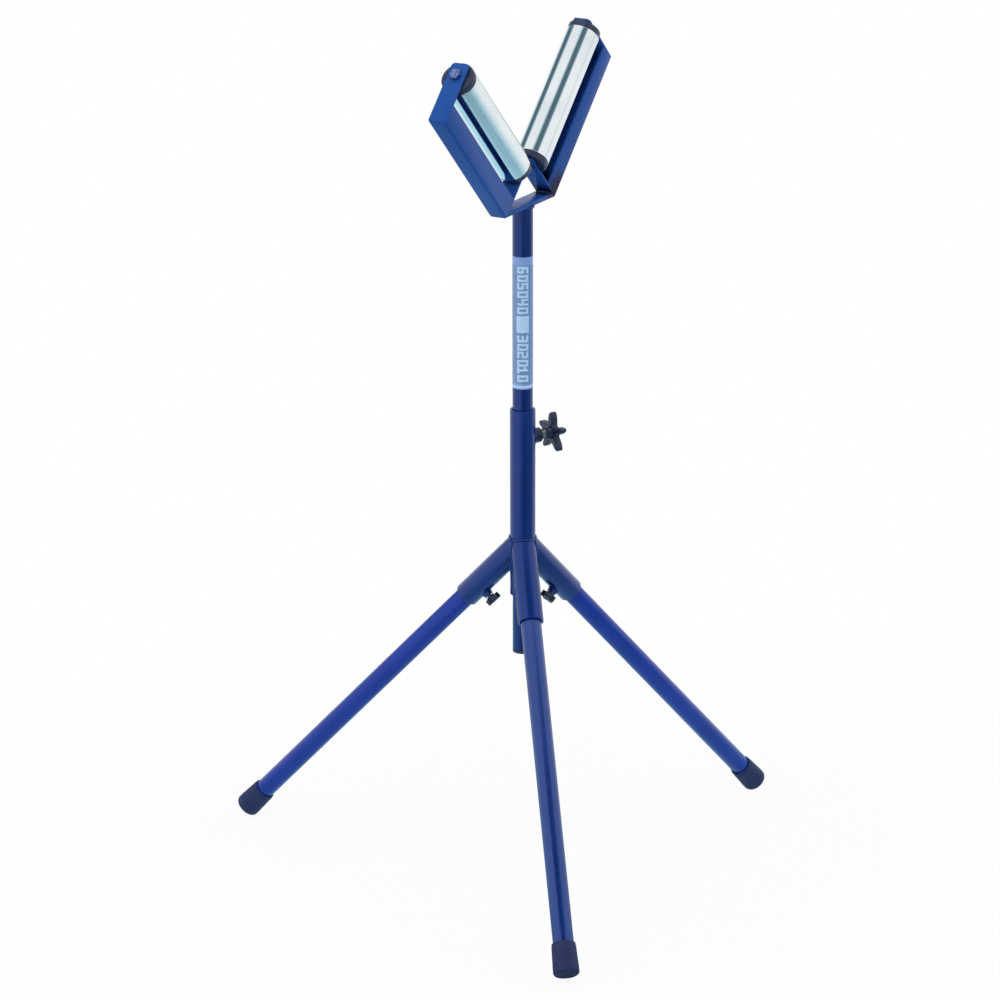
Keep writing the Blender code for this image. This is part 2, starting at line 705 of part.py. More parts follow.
def build_axle(side, axle_frame, parts, cutters):
    """The bolt through both ears and its nut."""
    head_face = CHANNEL_LENGTH + SEAT_GAP
    tip = -(SEAT_GAP + NUT_HEIGHT + BOLT_PROTRUSION)
    bolt = hexagon_bar(f"axle_bolt_{side}", head_face, head_face + BOLT_HEAD, parts, axle_frame, cutters)
    shank = turned(
        f"axle_shank_{side}",
        [
            (0.0, head_face + BOLT_HEAD / 2.0),
            (AXLE_RADIUS, head_face + BOLT_HEAD / 2.0),
            (AXLE_RADIUS, tip + BOLT_TIP_CHAMFER),
            (AXLE_RADIUS - BOLT_TIP_CHAMFER, tip),
            (0.0, tip),
        ],
        cutters, axle_frame, segments=SMALL_ROUND_SEGMENTS,
    )
    combine(bolt, shank, "UNION")

    nut = hexagon_bar(f"axle_nut_{side}", -SEAT_GAP - NUT_HEIGHT, -SEAT_GAP, parts, axle_frame, cutters)
    thread = rod(
        f"axle_nut_thread_{side}", AXLE_RADIUS + SEAT_GAP, -SEAT_GAP - NUT_HEIGHT - CUT_OVERRUN,
        CUT_OVERRUN, cutters, axle_frame,
    )
    combine(nut, thread, "DIFFERENCE")


def build_arm(side, sign, stand, parts, cutters):
    """One arm of the V: channel, roller and axle."""
    frame = new_empty(
        f"arm_frame_{side}", parts, stand, (sign * ARM_FOOT_HALF_SPAN, 0.0, ARM_FOOT_HEIGHT),
        (0.0, ARM_SLOPE - math.pi / 2.0, 0.0 if sign < 0 else math.pi),
    )
    build_channel(side, frame, parts, cutters)
    axle_frame = new_empty(f"axle_frame_{side}", parts, frame, (AXLE_RISE, 0.0, 0.0))
    build_roller(side, axle_frame, parts)
    # Both ends of a roller are alike, and the high one's frame is turned to face the other way.
    low_end = new_empty(f"roller_end_{side}_low", parts, axle_frame)
    high_end = new_empty(
        f"roller_end_{side}_high", parts, axle_frame, (0.0, 0.0, CHANNEL_LENGTH), (math.pi, 0.0, 0.0)
    )
    build_roller_end(f"{side}_low", low_end, parts)
    build_roller_end(f"{side}_high", high_end, parts)
    build_axle(side, axle_frame, parts, cutters)


def bounds(pieces):
    """The lowest and highest corners of the pieces together."""
    bpy.context.view_layer.update()
    corners = [piece.matrix_world @ vertex.co for piece in pieces for vertex in piece.data.vertices]
    low = Vector([min(corner[axis] for corner in corners) for axis in range(3)])
    high = Vector([max(corner[axis] for corner in corners) for axis in range(3)])
    return low, high


def assign_materials(pieces):
    """Give each piece the material of its kind."""
    enamel = new_material("blue_enamel", (0.017, 0.045, 0.30), 0.28, 0.0)
    chrome = new_material("bright_chrome", (0.82, 0.84, 0.86), 0.08, 1.0)
    zinc = new_material("zinc_plate", (0.62, 0.64, 0.68), 0.3, 1.0)
    plastic = new_material("black_plastic", (0.012, 0.012, 0.016), 0.42, 0.0)
    rubber = new_material("black_rubber", (0.010, 0.011, 0.016), 0.72, 0.0)
    blackened = new_material("blackened_steel", (0.030, 0.031, 0.036), 0.32, 1.0)
    kinds = (
        ("roller_tube", chrome), ("roller_cap", plastic), ("roller_bearing", zinc), ("axle_spacer", zinc),
        ("axle_bolt", blackened), ("axle_nut", blackened), ("foot_cap", rubber),
        ("post_end_plug", plastic), ("column_clamp_knob", plastic), ("leg_clamp_knob", plastic),
        ("column_clamp_stud", zinc), ("leg_clamp_stud", zinc),
    )
    for piece in pieces:
        matches = [material for start, material in kinds if piece.name.startswith(start)]
        piece.data.materials.clear()
        piece.data.materials.append(matches[0] if matches else enamel)


def main():
    """Build the stand and set it with the origin under the middle of its bounding box."""
    clear_scene()
    parts = new_collection("v_roller_stand")
    cutters = new_collection("cutters")
    stand = new_empty("stand_axis", parts)

    build_column(stand, parts, cutters)
    for number, leg_name in enumerate(LEG_NAMES):
        build_leg(leg_name, LEG_TURN + number * LEG_STEP, stand, parts, cutters)
    build_post(stand, parts)
    build_base_plate(stand, parts)
    for side, sign in (("left", -1.0), ("right", 1.0)):
        build_arm(side, sign, stand, parts, cutters)

    pieces = [item for item in parts.objects if item.type == "MESH"]
    for piece in pieces:
        settle(piece)
    assign_materials(pieces)
    low, high = bounds(pieces)
    stand.location = (-(low.x + high.x) / 2.0, -(low.y + high.y) / 2.0, 0.0)
    bpy.context.view_layer.update()


main()
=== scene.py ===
"""Looks of the v roller stand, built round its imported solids.

A post telescopes in a column on three slanted legs and carries two bright rollers in a V. Each
solid keeps its place. The script gives the stand smooth round pieces with softened edges, weld
beads, threads, bearings and a label, dresses every piece in a finish made of nodes, and sets up a
plain pale studio. Lengths are in metres and +Z is up. A piece is modelled upright round the
origin and then laid into its seat, so that its place ends up in its mesh.
"""

import json
import logging
import math
from collections.abc import Callable, Iterator, Sequence
from contextlib import contextmanager
from dataclasses import dataclass
from enum import Enum

import bmesh
import bpy
from mathutils import Matrix, Vector

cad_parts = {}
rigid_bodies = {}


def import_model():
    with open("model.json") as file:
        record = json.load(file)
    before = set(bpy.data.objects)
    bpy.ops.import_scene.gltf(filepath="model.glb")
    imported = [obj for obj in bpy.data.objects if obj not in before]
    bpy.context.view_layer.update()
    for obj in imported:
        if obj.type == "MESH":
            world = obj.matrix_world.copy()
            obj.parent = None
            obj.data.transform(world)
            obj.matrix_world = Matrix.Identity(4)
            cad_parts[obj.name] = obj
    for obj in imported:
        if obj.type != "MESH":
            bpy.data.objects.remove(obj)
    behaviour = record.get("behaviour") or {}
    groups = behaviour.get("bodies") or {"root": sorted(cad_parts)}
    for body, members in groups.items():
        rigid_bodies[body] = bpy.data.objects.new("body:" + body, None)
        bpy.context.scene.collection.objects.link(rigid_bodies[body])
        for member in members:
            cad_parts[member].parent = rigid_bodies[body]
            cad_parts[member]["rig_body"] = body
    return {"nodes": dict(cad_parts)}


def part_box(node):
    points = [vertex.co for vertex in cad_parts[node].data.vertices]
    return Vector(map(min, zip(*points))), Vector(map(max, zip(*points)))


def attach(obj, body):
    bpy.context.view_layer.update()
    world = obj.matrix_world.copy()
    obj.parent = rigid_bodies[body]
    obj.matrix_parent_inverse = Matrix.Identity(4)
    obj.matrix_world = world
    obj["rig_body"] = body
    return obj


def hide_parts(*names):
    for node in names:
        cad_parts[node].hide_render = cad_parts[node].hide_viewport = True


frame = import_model()

LOG = logging.getLogger("v_roller_stand")
MM = 0.001
HAIR = 0.01 * MM
FULL_TURN = 2.0 * math.pi

# Points closer than these are merged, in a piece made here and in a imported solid's copy.
MERGE_WITHIN = 2.0e-6
MERGE_SOLID_WITHIN = 5.0e-6
# A bisect takes points closer than this to lie in its plane.
CUT_WITHIN = 1.0e-6

Piece = bpy.types.Object
Socket = bpy.types.NodeSocket
Colour = tuple[float, float, float]
Profile = Sequence[tuple[float, float]]

WHITE: Colour = (1.0, 1.0, 1.0)
UP = Vector((0.0, 0.0, 1.0))


class Side(Enum):
    """The two arms of the V, as the photograph shows them."""

    LEFT = "left"
    RIGHT = "right"


class End(Enum):
    """The two ends of a roller."""

    LOW = "low"
    HIGH = "high"


class Leg(Enum):
    """The three legs, in the order in which they stand round the column."""

    RIGHT = "right"
    LEFT = "left"
    FRONT = "front"


class Part(Enum):
    """What is picked in edit mode."""

    POINTS = ("VERT", "verts")
    EDGES = ("EDGE", "edges")
    FACES = ("FACE", "faces")


class Cut(Enum):
    """What a boolean does with its tool."""

    AWAY = "DIFFERENCE"
    WITHIN = "INTERSECT"


@dataclass(frozen=True)
class Seat:
    """A place on the stand where a piece modelled upright is laid.

    Attributes:
        origin: The seat's origin on the stand.
        x: The direction that the piece's X takes.
        z: The direction that the piece's own axis takes.
    """

    origin: Vector
    x: Vector
    z: Vector

    def matrix(self) -> Matrix:
        """The matrix that lays a piece into this seat."""
        turn = Matrix((self.x, self.z.cross(self.x), self.z)).transposed().to_4x4()
        return Matrix.Translation(self.origin) @ turn

    def further(self, run: float) -> "Seat":
        """The seat moved along its own axis."""
        return Seat(self.origin + self.z * run, self.x, self.z)

    def facing_back(self) -> "Seat":
        """The seat turned to look back along its own axis."""
        return Seat(self.origin, self.x, -self.z)

    def at(self, x: float, y: float, z: float) -> Vector:
        """A point of the seat, on the stand."""
        return self.matrix() @ Vector((x, y, z))


@dataclass(frozen=True)
class Layout:
    """Where the stand's sub-assemblies sit, as the solids have them.

    Attributes:
        leg_lean: The angle between a leg and the column.
        first_leg: The direction of the first leg.
        clamp_turn: The direction of the column's clamp.
        junction: The height at which the legs' axes meet the column's.
        tube_radius: The outer radius of the column and the sockets, with tube_wall.
        inner_radius: The outer radius of the post and the legs, with inner_wall.
        arm_slope: The rise of the arms.
        arm_foot_half: Half the distance between the arms' feet.
        arm_foot_height: The height of the arms' feet.
        axle_rise: How far an axle stands off its channel's back.
        channel_length: The length of a channel.
        seam: The gap between solids that are joined.
    """

    leg_lean: float = math.radians(43.2)
    first_leg: float = math.radians(-23.4)
    clamp_turn: float = math.radians(-27.0)
    junction: float = 451.103 * MM
    tube_radius: float = 16.85 * MM
    tube_wall: float = 2.6 * MM
    inner_radius: float = 13.45 * MM
    inner_wall: float = 2.0 * MM
    arm_slope: float = math.radians(45.0)
    arm_foot_half: float = 65.4 * MM
    arm_foot_height: float = 905.903 * MM
    axle_rise: float = 70.6 * MM
    channel_length: float = 220.4 * MM
    seam: float = 0.3 * MM

    @property
    def half_step(self) -> float:
        """Half the angle between two legs."""
        return math.pi / len(Leg)

    @property
    def axis(self) -> Vector:
        """The point of the floor under the column."""
        low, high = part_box("column_tube")
        return Vector(((low.x + high.x) / 2.0, (low.y + high.y) / 2.0, 0.0))

    def upright(self) -> Seat:
        """The seat of what stands on the column's axis."""
        return Seat(self.axis, Vector((1.0, 0.0, 0.0)), UP)

    def leg(self, leg: Leg) -> Seat:
        """A leg's seat: Z runs down the leg and X points to its underside.

        Args:
            leg: The leg.

        Returns:
            The seat, from the point where the axes meet.
        """
        turn = self.first_leg + list(Leg).index(leg) * FULL_TURN / len(Leg)
        out = Vector((math.cos(turn), math.sin(turn), 0.0))
        along = out * math.sin(self.leg_lean) - UP * math.cos(self.leg_lean)
        under = -UP * math.sin(self.leg_lean) - out * math.cos(self.leg_lean)
        return Seat(self.axis + UP * self.junction, under, along)

    def leg_clamp(self, leg: Leg, place: float) -> Seat:
        """The seat of a leg's clamp screw, which points away from the leg's underside."""
        seat = self.leg(leg)
        return Seat(seat.origin + seat.z * place, -seat.z, seat.x)

    def column_clamp(self, height: float) -> Seat:
        """The seat of the column's clamp screw, which points away from the column."""
        out = Vector((math.cos(self.clamp_turn), math.sin(self.clamp_turn), 0.0))
        return Seat(self.axis + UP * height, -UP, out)

    def arm(self, side: Side) -> Seat:
        """An arm's seat: Z runs up the arm and X points from its back towards the roller.

        Args:
            side: The arm's side.

        Returns:
            The seat, from the arm's foot.
        """
        sign = -1.0 if side is Side.LEFT else 1.0
        foot = self.axis + Vector((sign * self.arm_foot_half, 0.0, self.arm_foot_height))
        along = Vector((sign * math.cos(self.arm_slope), 0.0, math.sin(self.arm_slope)))
        rise = Vector((-sign * math.sin(self.arm_slope), 0.0, math.cos(self.arm_slope)))
        return Seat(foot, rise, along)

    def axle(self, side: Side) -> Seat:
        """The seat of an arm's axle, from the low ear up."""
        seat = self.arm(side)
        return Seat(seat.origin + seat.x * self.axle_rise, seat.x, seat.z)

    def roller_end(self, side: Side, end: End) -> Seat:
        """The seat of a roller's end, whose Z points into the roller."""
        seat = self.axle(side)
        return seat if end is End.LOW else seat.further(self.channel_length).facing_back()


LAYOUT = Layout()


def closes_end(face: bmesh.types.BMFace) -> bool:
    """Whether a face closes the lower or the upper end of an upright piece."""
    return abs(face.normal.z) > 0.9


class Bench:
    """The modelling bench. Each tool works on one piece, with all others put down."""

    @staticmethod
    def put_down() -> None:
        """Leave nothing selected, in object mode."""
        if bpy.context.mode != "OBJECT":
            bpy.ops.object.mode_set(mode="OBJECT")
        bpy.ops.object.select_all(action="DESELECT")

    @staticmethod
    def pick_up(*pieces: Piece) -> None:
        """Select these pieces alone and make the first one active.

        Args:
            *pieces: The pieces.
        """
        Bench.put_down()
        for piece in pieces:
            piece.select_set(True)
        bpy.context.view_layer.objects.active = pieces[0]

    @staticmethod
    def start(name: str, add: Callable[..., object], **settings: object) -> Piece:
        """Add a primitive.

        Args:
            name: The piece's name.
            add: The operator that adds it.
            **settings: The operator's settings.

        Returns:
            The new piece, with its place in its mesh.
        """
        Bench.put_down()
        add(**settings)
        piece = bpy.context.object
        piece.name = name
        piece.data.name = name
        bpy.ops.object.transform_apply(location=True, rotation=True, scale=True)
        return piece

    @staticmethod
    @contextmanager
    def editing(piece: Piece) -> Iterator[None]:
        """Hold a piece in edit mode, with everything on it selected.

        Args:
            piece: The piece.

        Yields:
            Nothing, for as long as the piece is edited.
        """
        Bench.pick_up(piece)
        bpy.ops.object.mode_set(mode="EDIT")
        bpy.ops.mesh.select_mode(type="VERT")
        bpy.ops.mesh.select_all(action="SELECT")
        yield
        bpy.ops.object.mode_set(mode="OBJECT")

    @staticmethod
    def pick(piece: Piece, part: Part, wanted: Callable[..., bool]) -> None:
        """Select in edit mode the points, edges or faces that a test accepts.

        Args:
            piece: The piece, which is being edited.
            part: What is picked.
            wanted: The test that each item is put to.
        """
        bpy.ops.mesh.select_mode(type=part.value[0])
        bpy.ops.mesh.select_all(action="DESELECT")
        shape = bmesh.from_edit_mesh(piece.data)
        for item in getattr(shape, part.value[1]):
            if wanted(item):
                item.select_set(True)
        shape.select_flush_mode()
        bmesh.update_edit_mesh(piece.data)

    @staticmethod
    def modify(piece: Piece, kind: str, **settings: object) -> None:
        """Add a modifier with its settings and apply it.

        Args:
            piece: The piece.
            kind: The modifier's type.
            **settings: Its settings.
        """
        Bench.pick_up(piece)
        modifier = piece.modifiers.new(kind.lower(), kind)
        for setting, value in settings.items():
            setattr(modifier, setting, value)
        bpy.ops.object.modifier_apply(modifier=modifier.name)

    @staticmethod
    def smooth(piece: Piece, angle: float = 34.0) -> None:
        """Shade a piece smooth, with its edges above an angle in degrees kept sharp."""
        Bench.pick_up(piece)
        bpy.ops.object.shade_smooth_by_angle(angle=math.radians(angle))

    @staticmethod
    def soften(piece: Piece, width: float, segments: int = 2, angle: float = 34.0) -> None:
        """Round the edges that are sharper than an angle in degrees.

        Args:
            piece: The piece.
            width: The width of the rounding.
            segments: Its steps.
            angle: The angle above which an edge is rounded.
        """
        Bench.modify(
            piece, "BEVEL", width=width, segments=segments, limit_method="ANGLE",
            angle_limit=math.radians(angle), miter_outer="MITER_ARC",
        )
        Bench.smooth(piece)

    @staticmethod
    def carve(piece: Piece, tool: Piece, cut: Cut) -> None:
        """Cut a piece with another one, which is used up."""
        Bench.modify(piece, "BOOLEAN", object=tool, operation=cut.value, solver="EXACT")
        bpy.data.objects.remove(tool)

    @staticmethod
    def join(name: str, pieces: Sequence[Piece]) -> Piece:
        """Join pieces of one kind into one piece.

        Args:
            name: The whole's name.
            pieces: The pieces.

        Returns:
            The whole.
        """
        Bench.pick_up(*pieces)
        bpy.ops.object.join()
        pieces[0].name = name
        pieces[0].data.name = name
        return pieces[0]

    @staticmethod
    def lay(piece: Piece, seat: Seat) -> Piece:
        """Lay a piece that was modelled upright into its seat.

        Args:
            piece: The piece.
            seat: The seat.

        Returns:
            The same piece.
        """
        piece.data.transform(seat.matrix())
        piece.data.update()
        return piece

    @staticmethod
    def tube(
        name: str, outer: float, inner: float, low: float, high: float, sides: int = 96,
        edge: float = 0.4 * MM,
    ) -> Piece:
        """Make an upright tube from a cylinder whose ends are inset and bridged.

        Args:
            name: The piece's name.
            outer: Its outer radius.
            inner: Its bore's radius.
            low: The height of its lower end.
            high: The height of its upper end.
            sides: How many sides it has.
            edge: How far its rims are rounded.

        Returns:
            The tube.
        """
        piece = Bench.start(
            name, bpy.ops.mesh.primitive_cylinder_add, vertices=sides, radius=outer,
            depth=high - low, location=(0.0, 0.0, (low + high) / 2.0),
        )

        def is_rim(rim: bmesh.types.BMEdge) -> bool:
            """Whether an edge runs round a rim."""
            ends = [(point.co.z, point.co.xy.length) for point in rim.verts]
            return all(abs(first - second) < HAIR for first, second in zip(*ends))

        with Bench.editing(piece):
            Bench.pick(piece, Part.FACES, closes_end)
            bpy.ops.mesh.inset(thickness=outer - inner)
            bpy.ops.mesh.bridge_edge_loops()
            Bench.pick(piece, Part.EDGES, is_rim)
            bpy.ops.mesh.bevel(offset=edge, segments=3, profile=0.5, affect="EDGES")
            bpy.ops.mesh.select_all(action="SELECT")
            bpy.ops.mesh.normals_make_consistent(inside=False)
        Bench.smooth(piece)
        return piece

    @staticmethod
    def lathe(name: str, profile: Profile, sides: int = 96, sharp: float = 34.0) -> Piece:
        """Turn a piece: one point is extruded along a profile, which is spun round Z.

        Args:
            name: The piece's name.
            profile: Points of (radius, height). It starts and ends on the axis or at one point.
            sides: How many steps the spin takes.
            sharp: Edges above this angle in degrees stay sharp.

        Returns:
            The turned piece, closed.
        """
        piece = Bench.start(name, bpy.ops.mesh.primitive_plane_add, size=MM)
        with Bench.editing(piece):
            bpy.ops.mesh.merge(type="CENTER")
            bpy.ops.transform.translate(value=(profile[0][0], 0.0, profile[0][1]))
            for (radius, height), (next_radius, next_height) in zip(profile, profile[1:]):
                step = (next_radius - radius, 0.0, next_height - height)
                bpy.ops.mesh.extrude_region_move(TRANSFORM_OT_translate={"value": step})
            bpy.ops.mesh.select_all(action="SELECT")
            bpy.ops.mesh.spin(steps=sides, angle=FULL_TURN, center=(0.0, 0.0, 0.0), axis=tuple(UP))
            bpy.ops.mesh.select_all(action="SELECT")
            bpy.ops.mesh.remove_doubles(threshold=MERGE_WITHIN)
            bpy.ops.mesh.normals_make_consistent(inside=False)
        Bench.smooth(piece, sharp)
        return piece

    @staticmethod
    def thread(name: str, radius: float, pitch: float, low: float, high: float) -> Piece:
        """Wind a thread: a blade of three points, turned by a screw modifier and closed.

        Args:
            name: The piece's name.
            radius: The crest's radius.
            pitch: The pitch.
            low: The height of its lower end.
            high: The height that it keeps below.

        Returns:
            The thread's ridge.
        """
        depth = 0.61 * pitch
        piece = Bench.start(name, bpy.ops.mesh.primitive_plane_add, size=MM)
        with Bench.editing(piece):
            bpy.ops.mesh.merge(type="CENTER")
            bpy.ops.transform.translate(value=(radius - depth, 0.0, low))
            for step in ((depth, 0.44 * pitch), (-depth, 0.44 * pitch)):
                bpy.ops.mesh.extrude_region_move(
                    TRANSFORM_OT_translate={"value": (step[0], 0.0, step[1])}
                )
            bpy.ops.mesh.select_all(action="SELECT")
            bpy.ops.mesh.edge_face_add()
            bpy.ops.mesh.delete(type="ONLY_FACE")
        turns = max(1, int((high - low) / pitch - 0.9))
        Bench.modify(
            piece, "SCREW", axis="Z", angle=FULL_TURN, screw_offset=pitch, iterations=turns,
            steps=28, render_steps=28,
        )
        with Bench.editing(piece):
            bpy.ops.mesh.select_all(action="DESELECT")
            bpy.ops.mesh.select_non_manifold()
            bpy.ops.mesh.fill()
            bpy.ops.mesh.select_all(action="SELECT")
            bpy.ops.mesh.normals_make_consistent(inside=False)
        Bench.smooth(piece, 50.0)
        return piece

    @staticmethod
    def hexagon(name: str, across: float, low: float, high: float, top_land: float = 0.96) -> Piece:
        """A six-sided bar whose corners are turned down at both ends.

        Args:
            name: The piece's name.
            across: Its size across flats.
            low: The height of its lower face.
            high: The height of its upper face.
            top_land: The share of the flats' circle that stays flat at the ends.

        Returns:
            The bar, with its edges softened.
        """
        corner = across / math.sqrt(3.0)
        land = across / 2.0 * top_land
        wide = corner + 0.2 * MM
        drop = (wide - land) * math.tan(math.radians(27.0))
        bar = Bench.start(
            name, bpy.ops.mesh.primitive_cylinder_add, vertices=6, radius=corner,
            depth=high - low, location=(0.0, 0.0, (low + high) / 2.0),
        )
        turning = [
            (0.0, high), (land, high), (wide, high - drop),
            (wide, low + drop), (land, low), (0.0, low),
        ]
        envelope = Bench.lathe(name + "_turning", turning)
        Bench.carve(bar, envelope, Cut.WITHIN)
        Bench.soften(bar, 0.15 * MM, 2, 20.0)
        return bar

    @staticmethod
    def copy_solid(node: str, name: str) -> Piece:
        """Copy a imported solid, with its loose triangles merged into whole faces.

        Args:
            node: The solid's node.
            name: The copy's name.

        Returns:
            The copy.
        """
        piece = bpy.data.objects.new(name, frame["nodes"][node].data.copy())
        bpy.context.scene.collection.objects.link(piece)
        Bench.pick_up(piece)
        bpy.ops.mesh.customdata_custom_splitnormals_clear()
        with Bench.editing(piece):
            bpy.ops.mesh.remove_doubles(threshold=MERGE_SOLID_WITHIN)
            bpy.ops.mesh.dissolve_limited(angle_limit=math.radians(0.3))
        return piece

    @staticmethod
    def bead(name: str, path: Sequence[Vector], radius: float, closed: bool) -> Piece:
        """Lay a weld bead along a path.

        Args:
            name: The piece's name.
            path: Points on the seam.
            radius: The bead's radius at the crest of a ripple.
            closed: Whether the seam runs into itself.

        Returns:
            A round bead whose radius rises and falls like ripples laid one on the next.
        """
        corners = list(path) + ([path[0]] if closed else [])
        runs = [(b - a).length for a, b in zip(corners, corners[1:])]
        total = sum(runs)
        pitch = total / max(1, round(total / (0.95 * radius)))
        count = max(8, round(total / (pitch / 6.0)))
        curve = bpy.data.curves.new(name, "CURVE")
        curve.dimensions = "3D"
        curve.bevel_depth = radius
        curve.bevel_resolution = 2
        curve.use_fill_caps = not closed
        spline = curve.splines.new("POLY")
        steps = count if closed else count + 1
        spline.points.add(steps - 1)
        spline.use_cyclic_u = closed
        leg, start = 0, 0.0
        for number in range(steps):
            place = total * number / count
            while leg < len(runs) - 1 and place > start + runs[leg]:
                start += runs[leg]
                leg += 1
            point = corners[leg].lerp(corners[leg + 1], (place - start) / runs[leg])
            phase = (place / pitch) % 1.0
            taper = 1.0 if closed else min(1.0, 0.35 + min(place, total - place) / radius)
            spline.points[number].co = (*point, 1.0)
            spline.points[number].radius = taper * (0.8 + 0.2 * math.sqrt(1.0 - phase * phase))
        piece = bpy.data.objects.new(name, curve)
        bpy.context.scene.collection.objects.link(piece)
        Bench.pick_up(piece)
        bpy.ops.object.convert(target="MESH")
        piece = bpy.context.object
        Bench.smooth(piece, 60.0)
        return piece


def rounded(profile: Profile, radii: Sequence[float], steps: int = 5) -> list[tuple[float, float]]:
    """Round the corners of a turned profile.

    Args:
        profile: The profile's corners, as (radius, height).
        radii: A rounding for each corner, 0 where it stays sharp.
        steps: How many steps each rounding takes.

    Returns:
        The profile with arcs at its rounded corners. Points close to an arc on a long side keep
        the side's shading straight.
    """
    result: list[tuple[float, float]] = []
    for number, corner in enumerate(profile):
        radius = radii[number]
        if radius <= 0.0:
            result.append(corner)
            continue
        here = Vector(corner)
        before = Vector(profile[number - 1]) - here
        after = Vector(profile[(number + 1) % len(profile)]) - here
        back, ahead = before.normalized(), after.normalized()
        half = back.angle(ahead) / 2.0
        reach = radius / math.tan(half)
        if before.length > 5.0 * (reach + radius):
            result.append(tuple(here + back * (reach + 0.5 * radius)))
        middle = here + (back + ahead).normalized() * (radius / math.sin(half))
        first = (here + back * reach - middle).normalized()
        last = (here + ahead * reach - middle).normalized()
        for step in range(steps + 1):
            result.append(tuple(middle + first.slerp(last, step / steps) * radius))
        if after.length > 5.0 * (reach + radius):
            result.append(tuple(here + ahead * (reach + 0.5 * radius)))
    return result


